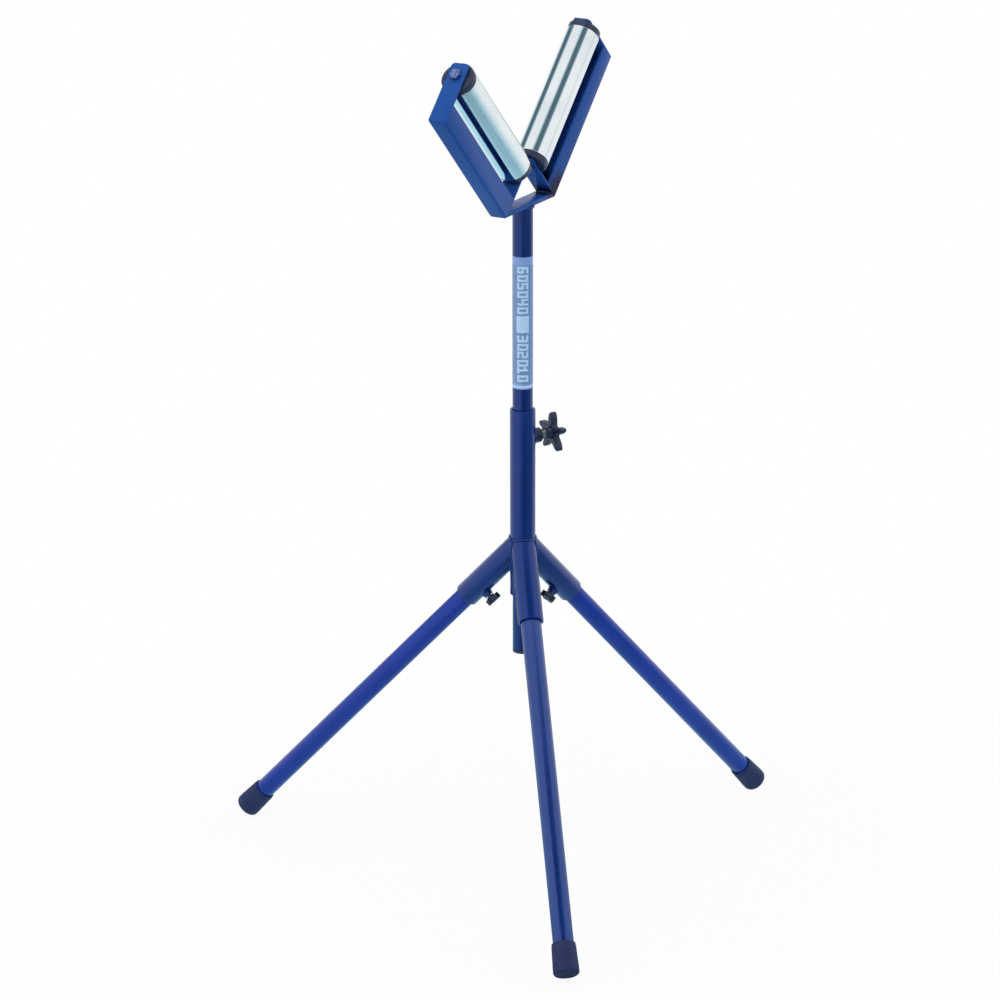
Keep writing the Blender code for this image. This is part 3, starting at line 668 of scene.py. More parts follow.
class Recipe:
    """A material made of nodes, whose patterns read the place on the object.

    Attributes:
        material: The material, or the world.
        shader: Its Principled shader, which a world doesn't have.
        place: The place on the object.
        way: In a world, the direction of the light.
    """

    def __init__(self, name: str, world: bpy.types.World | None = None) -> None:
        """Start from a Principled shader, or from a world's empty sheet.

        Args:
            name: The material's name.
            world: The world, if it is one that takes the nodes.
        """
        self.material = world or bpy.data.materials.new(name)
        self.material.use_nodes = True
        self.nodes = self.material.node_tree.nodes
        self.links = self.material.node_tree.links
        if world:
            self.nodes.clear()
        self.shader = self.nodes.get("Principled BSDF")
        source = self.nodes.new("ShaderNodeTexCoord")
        self.place = source.outputs["Object"]
        self.way = source.outputs["Generated"]

    def fix(self, **values: float | tuple[float, ...]) -> None:
        """Set plain numbers and colours on the shader. An underscore stands for a space."""
        for name, value in values.items():
            self.shader.inputs[name.replace("_", " ")].default_value = value

    def feed(self, name: str, source: Socket) -> None:
        """Lead a node's output into the shader."""
        self.links.new(source, self.shader.inputs[name])

    def seated(self, seat: Seat, stretch: tuple[float, float, float] = (1.0, 1.0, 1.0)) -> Socket:
        """The place in a seat's own directions, stretched along them.

        Args:
            seat: The seat.
            stretch: The length that counts as one along X, Y and Z.

        Returns:
            The place.
        """
        mapping = self.nodes.new("ShaderNodeMapping")
        mapping.vector_type = "TEXTURE"
        mapping.inputs["Location"].default_value = seat.origin
        mapping.inputs["Rotation"].default_value = seat.matrix().to_euler()
        mapping.inputs["Scale"].default_value = stretch
        self.links.new(self.place, mapping.inputs["Vector"])
        return mapping.outputs["Vector"]

    def noise(self, scale: float, detail: float = 2.0, place: Socket | None = None) -> Socket:
        """A soft noise with so many swells to the metre.

        Args:
            scale: Swells to the metre.
            detail: How many finer layers it has.
            place: Where it is read, or the place on the object.

        Returns:
            The noise, from 0 to 1.
        """
        node = self.nodes.new("ShaderNodeTexNoise")
        node.inputs["Scale"].default_value = scale
        node.inputs["Detail"].default_value = detail
        self.links.new(place or self.place, node.inputs["Vector"])
        return node.outputs[0]

    def cells(self, scale: float) -> Socket:
        """A tone for each of many small cells.

        Args:
            scale: Cells to the metre.

        Returns:
            The tone, from 0 to 1.
        """
        node = self.nodes.new("ShaderNodeTexVoronoi")
        node.inputs["Scale"].default_value = scale
        self.links.new(self.place, node.inputs["Vector"])
        tone = self.nodes.new("ShaderNodeSeparateColor")
        self.links.new(node.outputs["Color"], tone.inputs[0])
        return tone.outputs[0]

    def height(self) -> Socket:
        """The height above the floor.

        Returns:
            The height in metres.
        """
        node = self.nodes.new("ShaderNodeSeparateXYZ")
        self.links.new(self.place, node.inputs[0])
        return node.outputs["Z"]

    def dot(self, vector: Socket, direction: Vector) -> Socket:
        """How far a vector points in a direction.

        Args:
            vector: The vector.
            direction: The direction.

        Returns:
            Their product.
        """
        node = self.nodes.new("ShaderNodeVectorMath")
        node.operation = "DOT_PRODUCT"
        self.links.new(vector, node.inputs[0])
        node.inputs[1].default_value = direction
        return node.outputs["Value"]

    def span(
        self, value: Socket, low: float, high: float, start: float = 0.3, end: float = 0.7,
        eased: bool = False,
    ) -> Socket:
        """Carry a value from one range to another, held at both ends and eased if asked.

        Args:
            value: The value.
            low: The result up to the start.
            high: The result from the end on.
            start: Where the value's range starts.
            end: Where it ends.
            eased: Whether the change is soft at both ends.

        Returns:
            The result.
        """
        node = self.nodes.new("ShaderNodeMapRange")
        node.interpolation_type = "SMOOTHSTEP" if eased else "LINEAR"
        node.inputs["From Min"].default_value = start
        node.inputs["From Max"].default_value = end
        node.inputs["To Min"].default_value = low
        node.inputs["To Max"].default_value = high
        self.links.new(value, node.inputs["Value"])
        return node.outputs["Result"]

    def maths(self, kind: str, first: Socket, second: Socket | float) -> Socket:
        """Work out one number from two.

        Args:
            kind: Blender's name of the sum.
            first: The first number.
            second: The second number.

        Returns:
            The result.
        """
        node = self.nodes.new("ShaderNodeMath")
        node.operation = kind
        self.links.new(first, node.inputs[0])
        if isinstance(second, float):
            node.inputs[1].default_value = second
        else:
            self.links.new(second, node.inputs[1])
        return node.outputs[0]

    def tint(self, share: Socket, low: Colour | Socket, high: Colour | Socket) -> Socket:
        """A colour between two.

        Args:
            share: 0 for the first colour and 1 for the second.
            low: The first colour.
            high: The second colour.

        Returns:
            The colour.
        """
        node = self.nodes.new("ShaderNodeMix")
        node.data_type = "RGBA"
        self.links.new(share, node.inputs[0])
        for colour, place in ((low, node.inputs[6]), (high, node.inputs[7])):
            if isinstance(colour, tuple):
                place.default_value = (*colour, 1.0)
            else:
                self.links.new(colour, place)
        return node.outputs[2]

    def bump(
        self, height: Socket, depth: float, strength: float, under: Socket | None = None
    ) -> Socket:
        """Relief of a depth in metres, over the relief under it.

        Args:
            height: The pattern.
            depth: The depth at which it counts.
            strength: How much of it shows.
            under: The relief under it.

        Returns:
            The relief.
        """
        node = self.nodes.new("ShaderNodeBump")
        node.inputs["Strength"].default_value = strength
        node.inputs["Distance"].default_value = depth
        self.links.new(height, node.inputs["Height"])
        if under is not None:
            self.links.new(under, node.inputs["Normal"])
        return node.outputs["Normal"]


@dataclass(frozen=True)
class Finish:
    """How one kind of surface looks.

    Attributes:
        slot: The record's material slot.
        name: The material's own name.
    """

    slot: str
    name: str

    def mix(self, recipe: Recipe) -> None:
        """Build the pattern. Each finish has its own."""
        raise NotImplementedError

    def material(self) -> bpy.types.Material:
        """The material, made once.

        Returns:
            The material, which all pieces of this finish share.
        """
        made = bpy.data.materials.get(self.name)
        if made is None or "finish" not in made:
            recipe = Recipe(self.name)
            self.mix(recipe)
            made = recipe.material
            made["finish"] = self.slot
        return made


@dataclass(frozen=True)
class BlueEnamel(Finish):
    """Glossy blue stove enamel: a faint drift of colour, orange peel and a clear skin.

    Attributes:
        thin: The colour where the coat is thin.
        thick: The colour where it is thick.
        nib: The colour of the small nibs in it.
        sheen: How strongly it shines.
        gleam: The colour of that shine.
        index: Its index of refraction.
        skin: How much of the clear skin shows.
    """

    slot: str = "blue_enamel"
    name: str = "stove_enamel_blue"
    thin: Colour = (0.0032, 0.0182, 0.1290)
    thick: Colour = (0.0045, 0.0238, 0.1630)
    nib: Colour = (0.0083, 0.0312, 0.2000)
    sheen: float = 1.0
    gleam: Colour = (0.30, 0.45, 1.00)
    index: float = 1.5
    skin: float = 0.03

    def ground(self, recipe: Recipe) -> Socket:
        """The slow drift of colour of the coat."""
        return recipe.tint(recipe.span(recipe.noise(14.0, 3.0), 0.0, 1.0), self.thin, self.thick)

    def mix(self, recipe: Recipe) -> None:
        """Drift of colour, small nibs, uneven gloss and orange peel.

        Args:
            recipe: The recipe that takes the nodes.
        """
        drift = self.ground(recipe)
        nibs = recipe.span(recipe.noise(1500.0, 1.0), 0.0, 1.0, 0.70, 0.76)
        recipe.feed("Base Color", recipe.tint(nibs, drift, self.nib))
        recipe.feed("Roughness", self.dulling(recipe))
        recipe.feed("Normal", recipe.bump(nibs, 0.03 * MM, 0.4, self.peel(recipe)))
        self.shine(recipe)

    def dulling(self, recipe: Recipe) -> Socket:
        """The uneven roughness of the coat."""
        return recipe.span(recipe.noise(90.0, 3.0), 0.18, 0.29)

    def peel(self, recipe: Recipe) -> Socket:
        """The orange peel of the sprayed coat."""
        return recipe.bump(recipe.noise(700.0, 1.0), 0.05 * MM, 0.35)

    def shine(self, recipe: Recipe) -> None:
        """The gloss of the coat and of the clear skin over it."""
        recipe.fix(Metallic=0.0, IOR=self.index, Specular_IOR_Level=self.sheen)
        recipe.fix(Specular_Tint=(*self.gleam, 1.0), Coat_Weight=self.skin, Coat_Roughness=0.1)


@dataclass(frozen=True)
class HeadEnamel(BlueEnamel):
    """The paler enamel of the head, with painted shade darkening it round the right arm's foot.

    Attributes:
        painted_shade: The colour of the painted shade.
        shade_near: How far the painted shade reaches in full.
        shade_far: Where it has faded away.
    """

    name: str = "stove_enamel_head"
    thin: Colour = (0.0150, 0.0730, 0.2950)
    thick: Colour = (0.0210, 0.0880, 0.3400)
    nib: Colour = (0.0300, 0.0980, 0.3800)
    # Painted shade round the right arm's foot.
    painted_shade: Colour = (0.0110, 0.0130, 0.0400)
    sheen: float = 0.07
    gleam: Colour = WHITE
    skin: float = 0.014
    shade_near: float = 24.0 * MM
    shade_far: float = 44.0 * MM

    def ground(self, recipe: Recipe) -> Socket:
        """The drift of colour, with the painted shade over it.

        Args:
            recipe: The recipe that takes the nodes.

        Returns:
            The colour.
        """
        # Painted shade: a dark colour fades in round a point just up the right arm from its foot,
        # with a ragged edge.
        away = recipe.nodes.new("ShaderNodeVectorMath")
        away.operation = "DISTANCE"
        recipe.links.new(recipe.place, away.inputs[0])
        away.inputs[1].default_value = LAYOUT.arm(Side.RIGHT).further(8.0 * MM).origin
        ragged = recipe.maths("MULTIPLY", recipe.noise(60.0, 3.0), 12.0 * MM)
        reach = recipe.maths("ADD", away.outputs["Value"], ragged)
        whole = recipe.span(reach, 0.0, 1.0, self.shade_near, self.shade_far, True)
        return recipe.tint(whole, self.painted_shade, super().ground(recipe))


@dataclass(frozen=True)
class SlidingEnamel(BlueEnamel):
    """The enamel of the post, its blue darkened as painted shade. Its column has rubbed it in fine
    lines.
    """

    name: str = "stove_enamel_blue_slid"
    # Blues darker than the column's: painted shade on the post.
    thin: Colour = (0.0021, 0.0148, 0.1090)
    thick: Colour = (0.0030, 0.0194, 0.1380)
    rubbed: Colour = (0.0150, 0.0460, 0.2500)

    def mix(self, recipe: Recipe) -> None:
        """The enamel with lines rubbed along the post's lower half.

        Args:
            recipe: The recipe that takes the nodes.
        """
        along = recipe.seated(LAYOUT.upright(), (1.0, 1.0, 90.0))
        lines = recipe.span(recipe.noise(900.0, 2.0, along), 0.0, 1.0, 0.60, 0.74)
        low = recipe.span(recipe.height(), 1.0, 0.0, 0.60, 0.68)
        rub = recipe.maths("MULTIPLY", lines, low)
        recipe.feed("Base Color", recipe.tint(rub, self.ground(recipe), self.rubbed))
        scuffed = recipe.maths("MULTIPLY", rub, 0.12)
        recipe.feed("Roughness", recipe.maths("ADD", self.dulling(recipe), scuffed))
        recipe.feed("Normal", recipe.bump(rub, 0.02 * MM, 0.4, self.peel(recipe)))
        self.shine(recipe)


@dataclass(frozen=True)
class BrightChrome(Finish):
    """Polished chromed steel with fine turning lines round the roller.

    Attributes:
        side: The arm whose axle the lines run round.
    """

    slot: str = "bright_chrome"
    name: str = "bright_chrome_turned"
    side: Side = Side.LEFT
    clear: Colour = (0.800, 0.850, 0.870)
    hazy: Colour = (0.690, 0.760, 0.800)

    def mix(self, recipe: Recipe) -> None:
        """Turning lines, a slight haze and faint run marks along the roller.

        Args:
            recipe: The recipe that takes the nodes.
        """
        seat = LAYOUT.axle(self.side)
        rings = recipe.noise(260.0, 3.0, recipe.seated(seat, (30.0, 30.0, 1.0)))
        runs = recipe.noise(420.0, 2.0, recipe.seated(seat, (1.0, 1.0, 60.0)))
        haze = recipe.span(recipe.noise(24.0, 4.0), 0.0, 1.0, 0.35, 0.75)
        recipe.feed("Base Color", recipe.tint(haze, self.clear, self.hazy))
        gloss = recipe.span(rings, 0.035, 0.095)
        recipe.feed("Roughness", recipe.maths("ADD", gloss, recipe.maths("MULTIPLY", haze, 0.05)))
        lines = recipe.bump(rings, 0.01 * MM, 0.12)
        recipe.feed("Normal", recipe.bump(runs, 0.01 * MM, 0.05, lines))
        recipe.fix(Metallic=1.0)


@dataclass(frozen=True)
class ZincPlate(Finish):
    """Clear zinc plating: pale grey cells with a faint warm and cool shift."""

    slot: str = "zinc_plate"
    name: str = "zinc_plate_clear"
    cool: Colour = (0.54, 0.58, 0.64)
    warm: Colour = (0.66, 0.64, 0.56)

    def mix(self, recipe: Recipe) -> None:
        """Small cells of tone over a slow shift of hue.

        Args:
            recipe: The recipe that takes the nodes.
        """
        shift = recipe.span(recipe.noise(130.0, 3.0), 0.0, 0.5)
        tone = recipe.tint(shift, self.cool, self.warm)
        cells = recipe.span(recipe.cells(1400.0), 0.0, 0.22, 0.0, 1.0)
        recipe.feed("Base Color", recipe.tint(cells, tone, (0.86, 0.88, 0.90)))
        recipe.feed("Roughness", recipe.span(recipe.noise(900.0, 3.0), 0.22, 0.40))
        recipe.feed("Normal", recipe.bump(recipe.noise(2200.0, 2.0), 0.01 * MM, 0.25))
        recipe.fix(Metallic=1.0)


@dataclass(frozen=True)
class BlackenedSteel(Finish):
    """Blackened steel with a blue sheen, a little brighter where it has been handled."""

    slot: str = "blackened_steel"
    name: str = "blackened_steel_oiled"
    dark: Colour = (0.100, 0.150, 0.340)
    bare: Colour = (0.260, 0.360, 0.660)

    def mix(self, recipe: Recipe) -> None:
        """Cloudy dark scale with a satin sheen.

        Args:
            recipe: The recipe that takes the nodes.
        """
        clouds = recipe.span(recipe.noise(320.0, 4.0), 0.0, 1.0, 0.42, 0.72)
        recipe.feed("Base Color", recipe.tint(clouds, self.dark, self.bare))
        recipe.feed("Roughness", recipe.span(recipe.noise(700.0, 3.0), 0.24, 0.42))
        recipe.feed("Normal", recipe.bump(recipe.noise(1800.0, 3.0), 0.015 * MM, 0.3))
        recipe.fix(Metallic=0.85)


@dataclass(frozen=True)
class BlackPlastic(Finish):
    """Moulded black plastic with a fine sparked grain."""

    slot: str = "black_plastic"
    name: str = "moulded_plastic_black"
    deep: Colour = (0.0110, 0.0170, 0.0450)
    worn: Colour = (0.0290, 0.0400, 0.0880)

    def mix(self, recipe: Recipe) -> None:
        """Grain, slow flow marks and uneven gloss.

        Args:
            recipe: The recipe that takes the nodes.
        """
        flow = recipe.span(recipe.noise(60.0, 3.0), 0.0, 1.0)
        recipe.feed("Base Color", recipe.tint(flow, self.deep, self.worn))
        recipe.feed("Roughness", recipe.span(recipe.noise(240.0, 2.0), 0.30, 0.44))
        grain = recipe.bump(recipe.noise(2600.0, 2.0), 0.03 * MM, 0.35)
        recipe.feed("Normal", recipe.bump(flow, 0.10 * MM, 0.08, grain))
        recipe.fix(Metallic=0.0, IOR=1.46)


@dataclass(frozen=True)
class FootRubber(Finish):
    """Black rubber, dusty towards the floor."""

    slot: str = "black_rubber"
    name: str = "foot_rubber_black"
    deep: Colour = (0.0060, 0.0130, 0.0700)
    bloom: Colour = (0.0130, 0.0260, 0.1050)
    dust: Colour = (0.0500, 0.0560, 0.0900)

    def mix(self, recipe: Recipe) -> None:
        """A bloom of wax, floor dust and a matt skin.

        Args:
            recipe: The recipe that takes the nodes.
        """
        bloom = recipe.tint(recipe.span(recipe.noise(80.0, 4.0), 0.0, 1.0), self.deep, self.bloom)
        low = recipe.span(recipe.height(), 1.0, 0.0, 0.0, 9.0 * MM)
        spots = recipe.span(recipe.noise(500.0, 4.0), 0.0, 0.7, 0.45, 0.75)
        dusty = recipe.maths("MULTIPLY", low, spots)
        recipe.feed("Base Color", recipe.tint(dusty, bloom, self.dust))
        recipe.feed("Roughness", recipe.span(recipe.noise(300.0, 3.0), 0.48, 0.68))
        recipe.feed("Normal", recipe.bump(recipe.noise(1500.0, 3.0), 0.05 * MM, 0.35))
        recipe.fix(Metallic=0.0, IOR=1.5, Specular_IOR_Level=0.4)


@dataclass(frozen=True)
class LabelFilm(Finish):
    """Printed vinyl film: its ground or its pale print.

    Attributes:
        full: The colour where the ink is full.
        thin: The colour where the ink is thin.
    """

    slot: str = "blue_enamel"
    name: str = "label_film_ground"
    full: Colour = (0.165, 0.270, 0.480)
    thin: Colour = (0.215, 0.335, 0.560)

    def mix(self, recipe: Recipe) -> None:
        """Slightly uneven ink under a satin film with soft ripples.

        Args:
            recipe: The recipe that takes the nodes.
        """
        ink = recipe.span(recipe.noise(160.0, 3.0), 0.0, 1.0)
        recipe.feed("Base Color", recipe.tint(ink, self.full, self.thin))
        recipe.feed("Roughness", recipe.span(recipe.noise(70.0, 2.0), 0.26, 0.36))
        recipe.feed("Normal", recipe.bump(recipe.noise(110.0, 1.0), 0.06 * MM, 0.15))
        recipe.fix(Metallic=0.0, IOR=1.46)


ENAMEL = BlueEnamel()
HEAD_ENAMEL = HeadEnamel()
# The leg tubes take copies of the enamel whose blues stand for light: the front leg's is darker, as
# painted shade, and the left and right legs' is lighter, as painted light.
SHADED_FRONT_ENAMEL = BlueEnamel(
    name="stove_enamel_front_shaded", thin=(0.0032, 0.0194, 0.1370), thick=(0.0045, 0.0253, 0.1730),
    index=1.7,
)
LIT_LEG_ENAMEL = BlueEnamel(
    name="stove_enamel_legs_lit", thin=(0.0050, 0.0310, 0.2850), thick=(0.0072, 0.0400, 0.3450),
    nib=(0.0130, 0.0500, 0.3900), sheen=0.28, gleam=WHITE, skin=0.056,
)
# A much darker copy of the enamel, for the column clamp's boss.
BOSS_ENAMEL = BlueEnamel(
    name="stove_enamel_dark_boss", thin=(0.0070, 0.0120, 0.0320), thick=(0.0120, 0.0210, 0.0560),
    nib=(0.0200, 0.0320, 0.0800), sheen=0.28, gleam=WHITE, skin=0.056,
)
SLIDING_ENAMEL = SlidingEnamel()
ZINC = ZincPlate()
BLACKENED = BlackenedSteel()
PLASTIC = BlackPlastic()
RUBBER = FootRubber()
SEAL = BlackPlastic(slot="black_rubber", name="bearing_seal_rubber", deep=(0.012, 0.011, 0.011))
LABEL_GROUND = LabelFilm()
LABEL_RIM = LabelFilm(
    name="label_film_rim", full=(0.230, 0.350, 0.680), thin=(0.290, 0.410, 0.740)
)
LABEL_PRINT = LabelFilm(
    name="label_film_print", full=(0.490, 0.670, 0.910), thin=(0.570, 0.740, 0.940)
)

# The squares of each block digit, row by row
BLOCK_DIGITS = {
    "0": ("###", "# #", "# #", "# #", "###"),
    "1": (" # ", "## ", " # ", " # ", "###"),
    "2": ("###", "  #", "###", "#  ", "###"),
    "3": ("###", "  #", "###", "  #", "###"),
    "4": ("# #", "# #", "###", "  #", "  #"),
    "5": ("###", "#  ", "###", "  #", "###"),
    "6": ("###", "#  ", "###", "# #", "###"),
}


def fit(piece: Piece, finish: Finish, like: str, *stands_for: str) -> Piece:
    """Dress a piece and fix it to the stand.

    Args:
        piece: The finished piece, in its place.
        finish: What its surface is.
        like: The solid whose body it rides on.
        *stands_for: The solids that it is shown instead of.

    Returns:
        The piece.
    """
    piece.data.materials.clear()
    piece.data.materials.append(finish.material())
    body = frame["nodes"][like]["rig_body"]
    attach(piece, body)
    if stands_for:
        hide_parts(*stands_for)
    LOG.info("%s: %s, rides on %s", piece.name, finish.name, body)
    return piece


@dataclass
class Clamp:
    """A clamp screw: a welded boss, a threaded stud and a star knob.

    Attributes:
        kind: The start of its solids' names.
        tail: The end of its solids' names.
        seat: Its seat, with Z along the screw.
        stud_radius: The screw's radius, with its thread's pitch.
        boss_radius: The boss's radius, with boss_height off the tube.
        bare_stud: How much of the screw shows between boss and knob.
        hub_radius: The radius of the knob's hub, with hub_height.
        star_radius: The radius over the lobes, with star_valley between them.
        star_thickness: The star's thickness, with its rounded star_edge.
        bead_radius: The radius of the bead round the boss.
        held_radius: The radius of the tube that it presses on.
        boss_finish: What the boss is coated with.
        lobes: How many lobes the star has.
    """

    kind: str
    tail: str
    seat: Seat
    stud_radius: float
    pitch: float
    boss_radius: float
    boss_height: float
    bare_stud: float
    hub_radius: float
    hub_height: float
    star_radius: float
    star_valley: float
    star_thickness: float
    star_edge: float
    bead_radius: float
    held_radius: float = LAYOUT.inner_radius
    boss_finish: BlueEnamel = ENAMEL
    lobes: int = 5

    @property
    def boss_end(self) -> float:
        """How far the boss reaches from the tube's axis."""
        return LAYOUT.tube_radius + self.boss_height

    @property
    def hub_start(self) -> float:
        """Where the knob's hub begins."""
        return self.boss_end + self.bare_stud

    @property
    def star_start(self) -> float:
        """Where the knob's star begins."""
        return self.hub_start + self.hub_height

    @property
    def knob_end(self) -> float:
        """Where the knob ends."""
        return self.star_start + self.star_thickness

    def build(self) -> None:
        """Make the boss with its bead, the stud and the knob."""
        self.build_boss()
        self.build_stud()
        self.build_knob()

    def build_boss(self) -> None:
        """A turned boss, coped to its tube and welded on all round."""
        node = f"{self.kind}_boss{self.tail}"
        bore = self.stud_radius + LAYOUT.seam
        corners = [
            (self.boss_radius, 0.0), (self.boss_radius, self.boss_end), (bore, self.boss_end),
            (bore, 0.0), (self.boss_radius, 0.0),
        ]
        profile = rounded(corners, (0.0, 0.7 * MM, 0.5 * MM, 0.0, 0.0))
        boss = Bench.lathe(f"{self.kind}_boss_turned{self.tail}", profile, 64)
        cope = Bench.start(
            "boss_cope", bpy.ops.mesh.primitive_cylinder_add, vertices=96,
            radius=LAYOUT.tube_radius + LAYOUT.seam / 2.0, depth=4.0 * self.boss_radius,
            rotation=(0.0, math.radians(90.0), 0.0),
        )
        Bench.carve(boss, cope, Cut.AWAY)
        Bench.smooth(boss)
        fit(Bench.lay(boss, self.seat), self.boss_finish, node, node)

        seam = []
        steps = 72
        for step in range(steps):
            turn = FULL_TURN * step / steps
            across = self.boss_radius * math.sin(turn)
            rise = math.sqrt(LAYOUT.tube_radius**2 - across**2)
            seam.append(self.seat.at(self.boss_radius * math.cos(turn), across, rise))
        bead = Bench.bead(f"{self.kind}_boss_weld{self.tail}", seam, self.bead_radius, True)
        fit(bead, ENAMEL, node)

    def build_stud(self) -> None:
        """The screw: a core with a wound thread, its tip turned down."""
        node = f"{self.kind}_stud{self.tail}"
        core = self.stud_radius - 0.58 * self.pitch
        tip = self.held_radius + LAYOUT.seam
        end = self.star_start + 0.55 * self.star_thickness
        chamfer = 0.3 * MM
        corners = [
            (0.0, end), (core, end), (core, tip + chamfer), (core - chamfer, tip), (0.0, tip),
        ]
        stud = Bench.lathe(f"{self.kind}_core{self.tail}", corners, 32)
        winding = Bench.thread(
            f"{self.kind}_winding{self.tail}", self.stud_radius, self.pitch, tip + 0.2 * MM, end,
        )
        screw = Bench.join(f"{self.kind}_screw{self.tail}", [stud, winding])
        fit(Bench.lay(screw, self.seat), ZINC, node, node)

    def swell(self, turn: float) -> float:
        """The star's radius at an angle from its first lobe."""
        share = ((1.0 + math.cos(self.lobes * turn)) / 2.0) ** 1.6
        return self.star_valley + (self.star_radius - self.star_valley) * share

    def build_star(self) -> Piece:
        """A cylinder whose side is drawn in between the lobes, with its rims rounded.

        Returns:
            The star.
        """
        steps = 24
        sides = self.lobes * steps
        thickness = self.star_thickness
        middle = self.star_start + thickness / 2.0
        star = Bench.start(
            "star", bpy.ops.mesh.primitive_cylinder_add, vertices=sides, radius=self.star_radius,
            depth=thickness, location=(0.0, 0.0, middle), rotation=(0.0, 0.0, math.radians(90.0)),
        )
        lobe = FULL_TURN / self.lobes
        with Bench.editing(star):
            for number in range(steps // 2 + 1):
                turn = FULL_TURN * number / sides

                def in_phase(point: bmesh.types.BMVert, turn: float = turn) -> bool:
                    """Whether a point stands this far from its lobe's middle."""
                    place = math.atan2(point.co.y, -point.co.x) % lobe
                    return min(abs(place - turn), abs(lobe - place - turn)) < 1.0e-3

                Bench.pick(star, Part.POINTS, in_phase)
                share = self.swell(turn) / self.star_radius
                bpy.ops.transform.resize(value=(share, share, 1.0), center_override=(0.0, 0.0, 0.0))
            Bench.pick(star, Part.FACES, closes_end)
            bpy.ops.mesh.bevel(offset=self.star_edge, segments=5, profile=0.55, affect="EDGES")
        return star

    def build_knob(self) -> None:
        """The star on its hub, with a collar round the screw and a sunk plug in front."""
        node = f"{self.kind}_knob{self.tail}"
        star = self.build_star()
        bore = self.stud_radius + LAYOUT.seam
        eye = 0.52 * self.star_valley
        end = self.knob_end
        floor = end - 0.8 * MM
        corners = [(0.0, end + MM), (eye, end + MM), (eye, floor), (0.0, floor), (0.0, end + MM)]
        Bench.carve(star, Bench.lathe("eye", corners, 48), Cut.AWAY)
        blind = end - 0.4 * self.star_thickness
        below = self.hub_start - MM
        corners = [(0.0, blind), (bore, blind), (bore, below), (0.0, below)]
        Bench.carve(star, Bench.lathe("shaft_hole", corners, 32), Cut.AWAY)
        Bench.smooth(star, 30.0)
        inside = self.star_start + 0.3 * self.star_thickness
        wide = self.hub_radius * 0.93
        corners = [
            (bore, inside), (wide, inside), (self.hub_radius, self.hub_start),
            (bore, self.hub_start), (bore, inside),
        ]
        hub = Bench.lathe("hub", rounded(corners, (0.0, 0.0, 0.8 * MM, 0.3 * MM, 0.0)), 64)
        plug_radius = eye - 0.3 * MM
        plug_top, plug_back = end - 0.55 * MM, end - 0.9 * MM
        corners = [
            (0.0, plug_top), (plug_radius, plug_top), (plug_radius, plug_back), (0.0, plug_back),
        ]
        plug = Bench.lathe("plug", rounded(corners, (0.0, 0.3 * MM, 0.0, 0.0)), 48)
        knob = Bench.join(f"{self.kind}_star{self.tail}", [star, hub, plug])
        fit(Bench.lay(knob, self.seat), PLASTIC, node, node)


def column_clamp() -> Clamp:
    """The clamp that holds the post at its height.

    Returns:
        The clamp.
    """
    column_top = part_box("column_tube")[1].z
    return Clamp(
        kind="column_clamp",
        tail="",
        seat=LAYOUT.column_clamp(column_top - 40.0 * MM),
        stud_radius=4.0 * MM,
        pitch=1.25 * MM,
        boss_radius=10.0 * MM,
        boss_height=9.5 * MM,
        bare_stud=8.5 * MM,
        hub_radius=9.0 * MM,
        hub_height=8.0 * MM,
        star_radius=27.5 * MM,
        star_valley=10.5 * MM,
        star_thickness=10.0 * MM,
        star_edge=2.2 * MM,
        bead_radius=1.7 * MM,
        boss_finish=BOSS_ENAMEL,
    )


def leg_clamp(leg: Leg) -> Clamp:
    """The clamp that holds one leg in its socket.

    Args:
        leg: The leg.

    Returns:
        The clamp.
    """
    return Clamp(
        kind="leg_clamp",
        tail=f"_{leg.value}",
        seat=LAYOUT.leg_clamp(leg, 93.0 * MM),
        stud_radius=3.0 * MM,
        pitch=1.0 * MM,
        boss_radius=6.5 * MM,
        boss_height=4.5 * MM,
        bare_stud=1.0 * MM,
        hub_radius=6.0 * MM,
        hub_height=2.0 * MM,
        star_radius=11.0 * MM,
        star_valley=7.0 * MM,
        star_thickness=8.0 * MM,
        star_edge=1.2 * MM,
        bead_radius=1.2 * MM,
    )


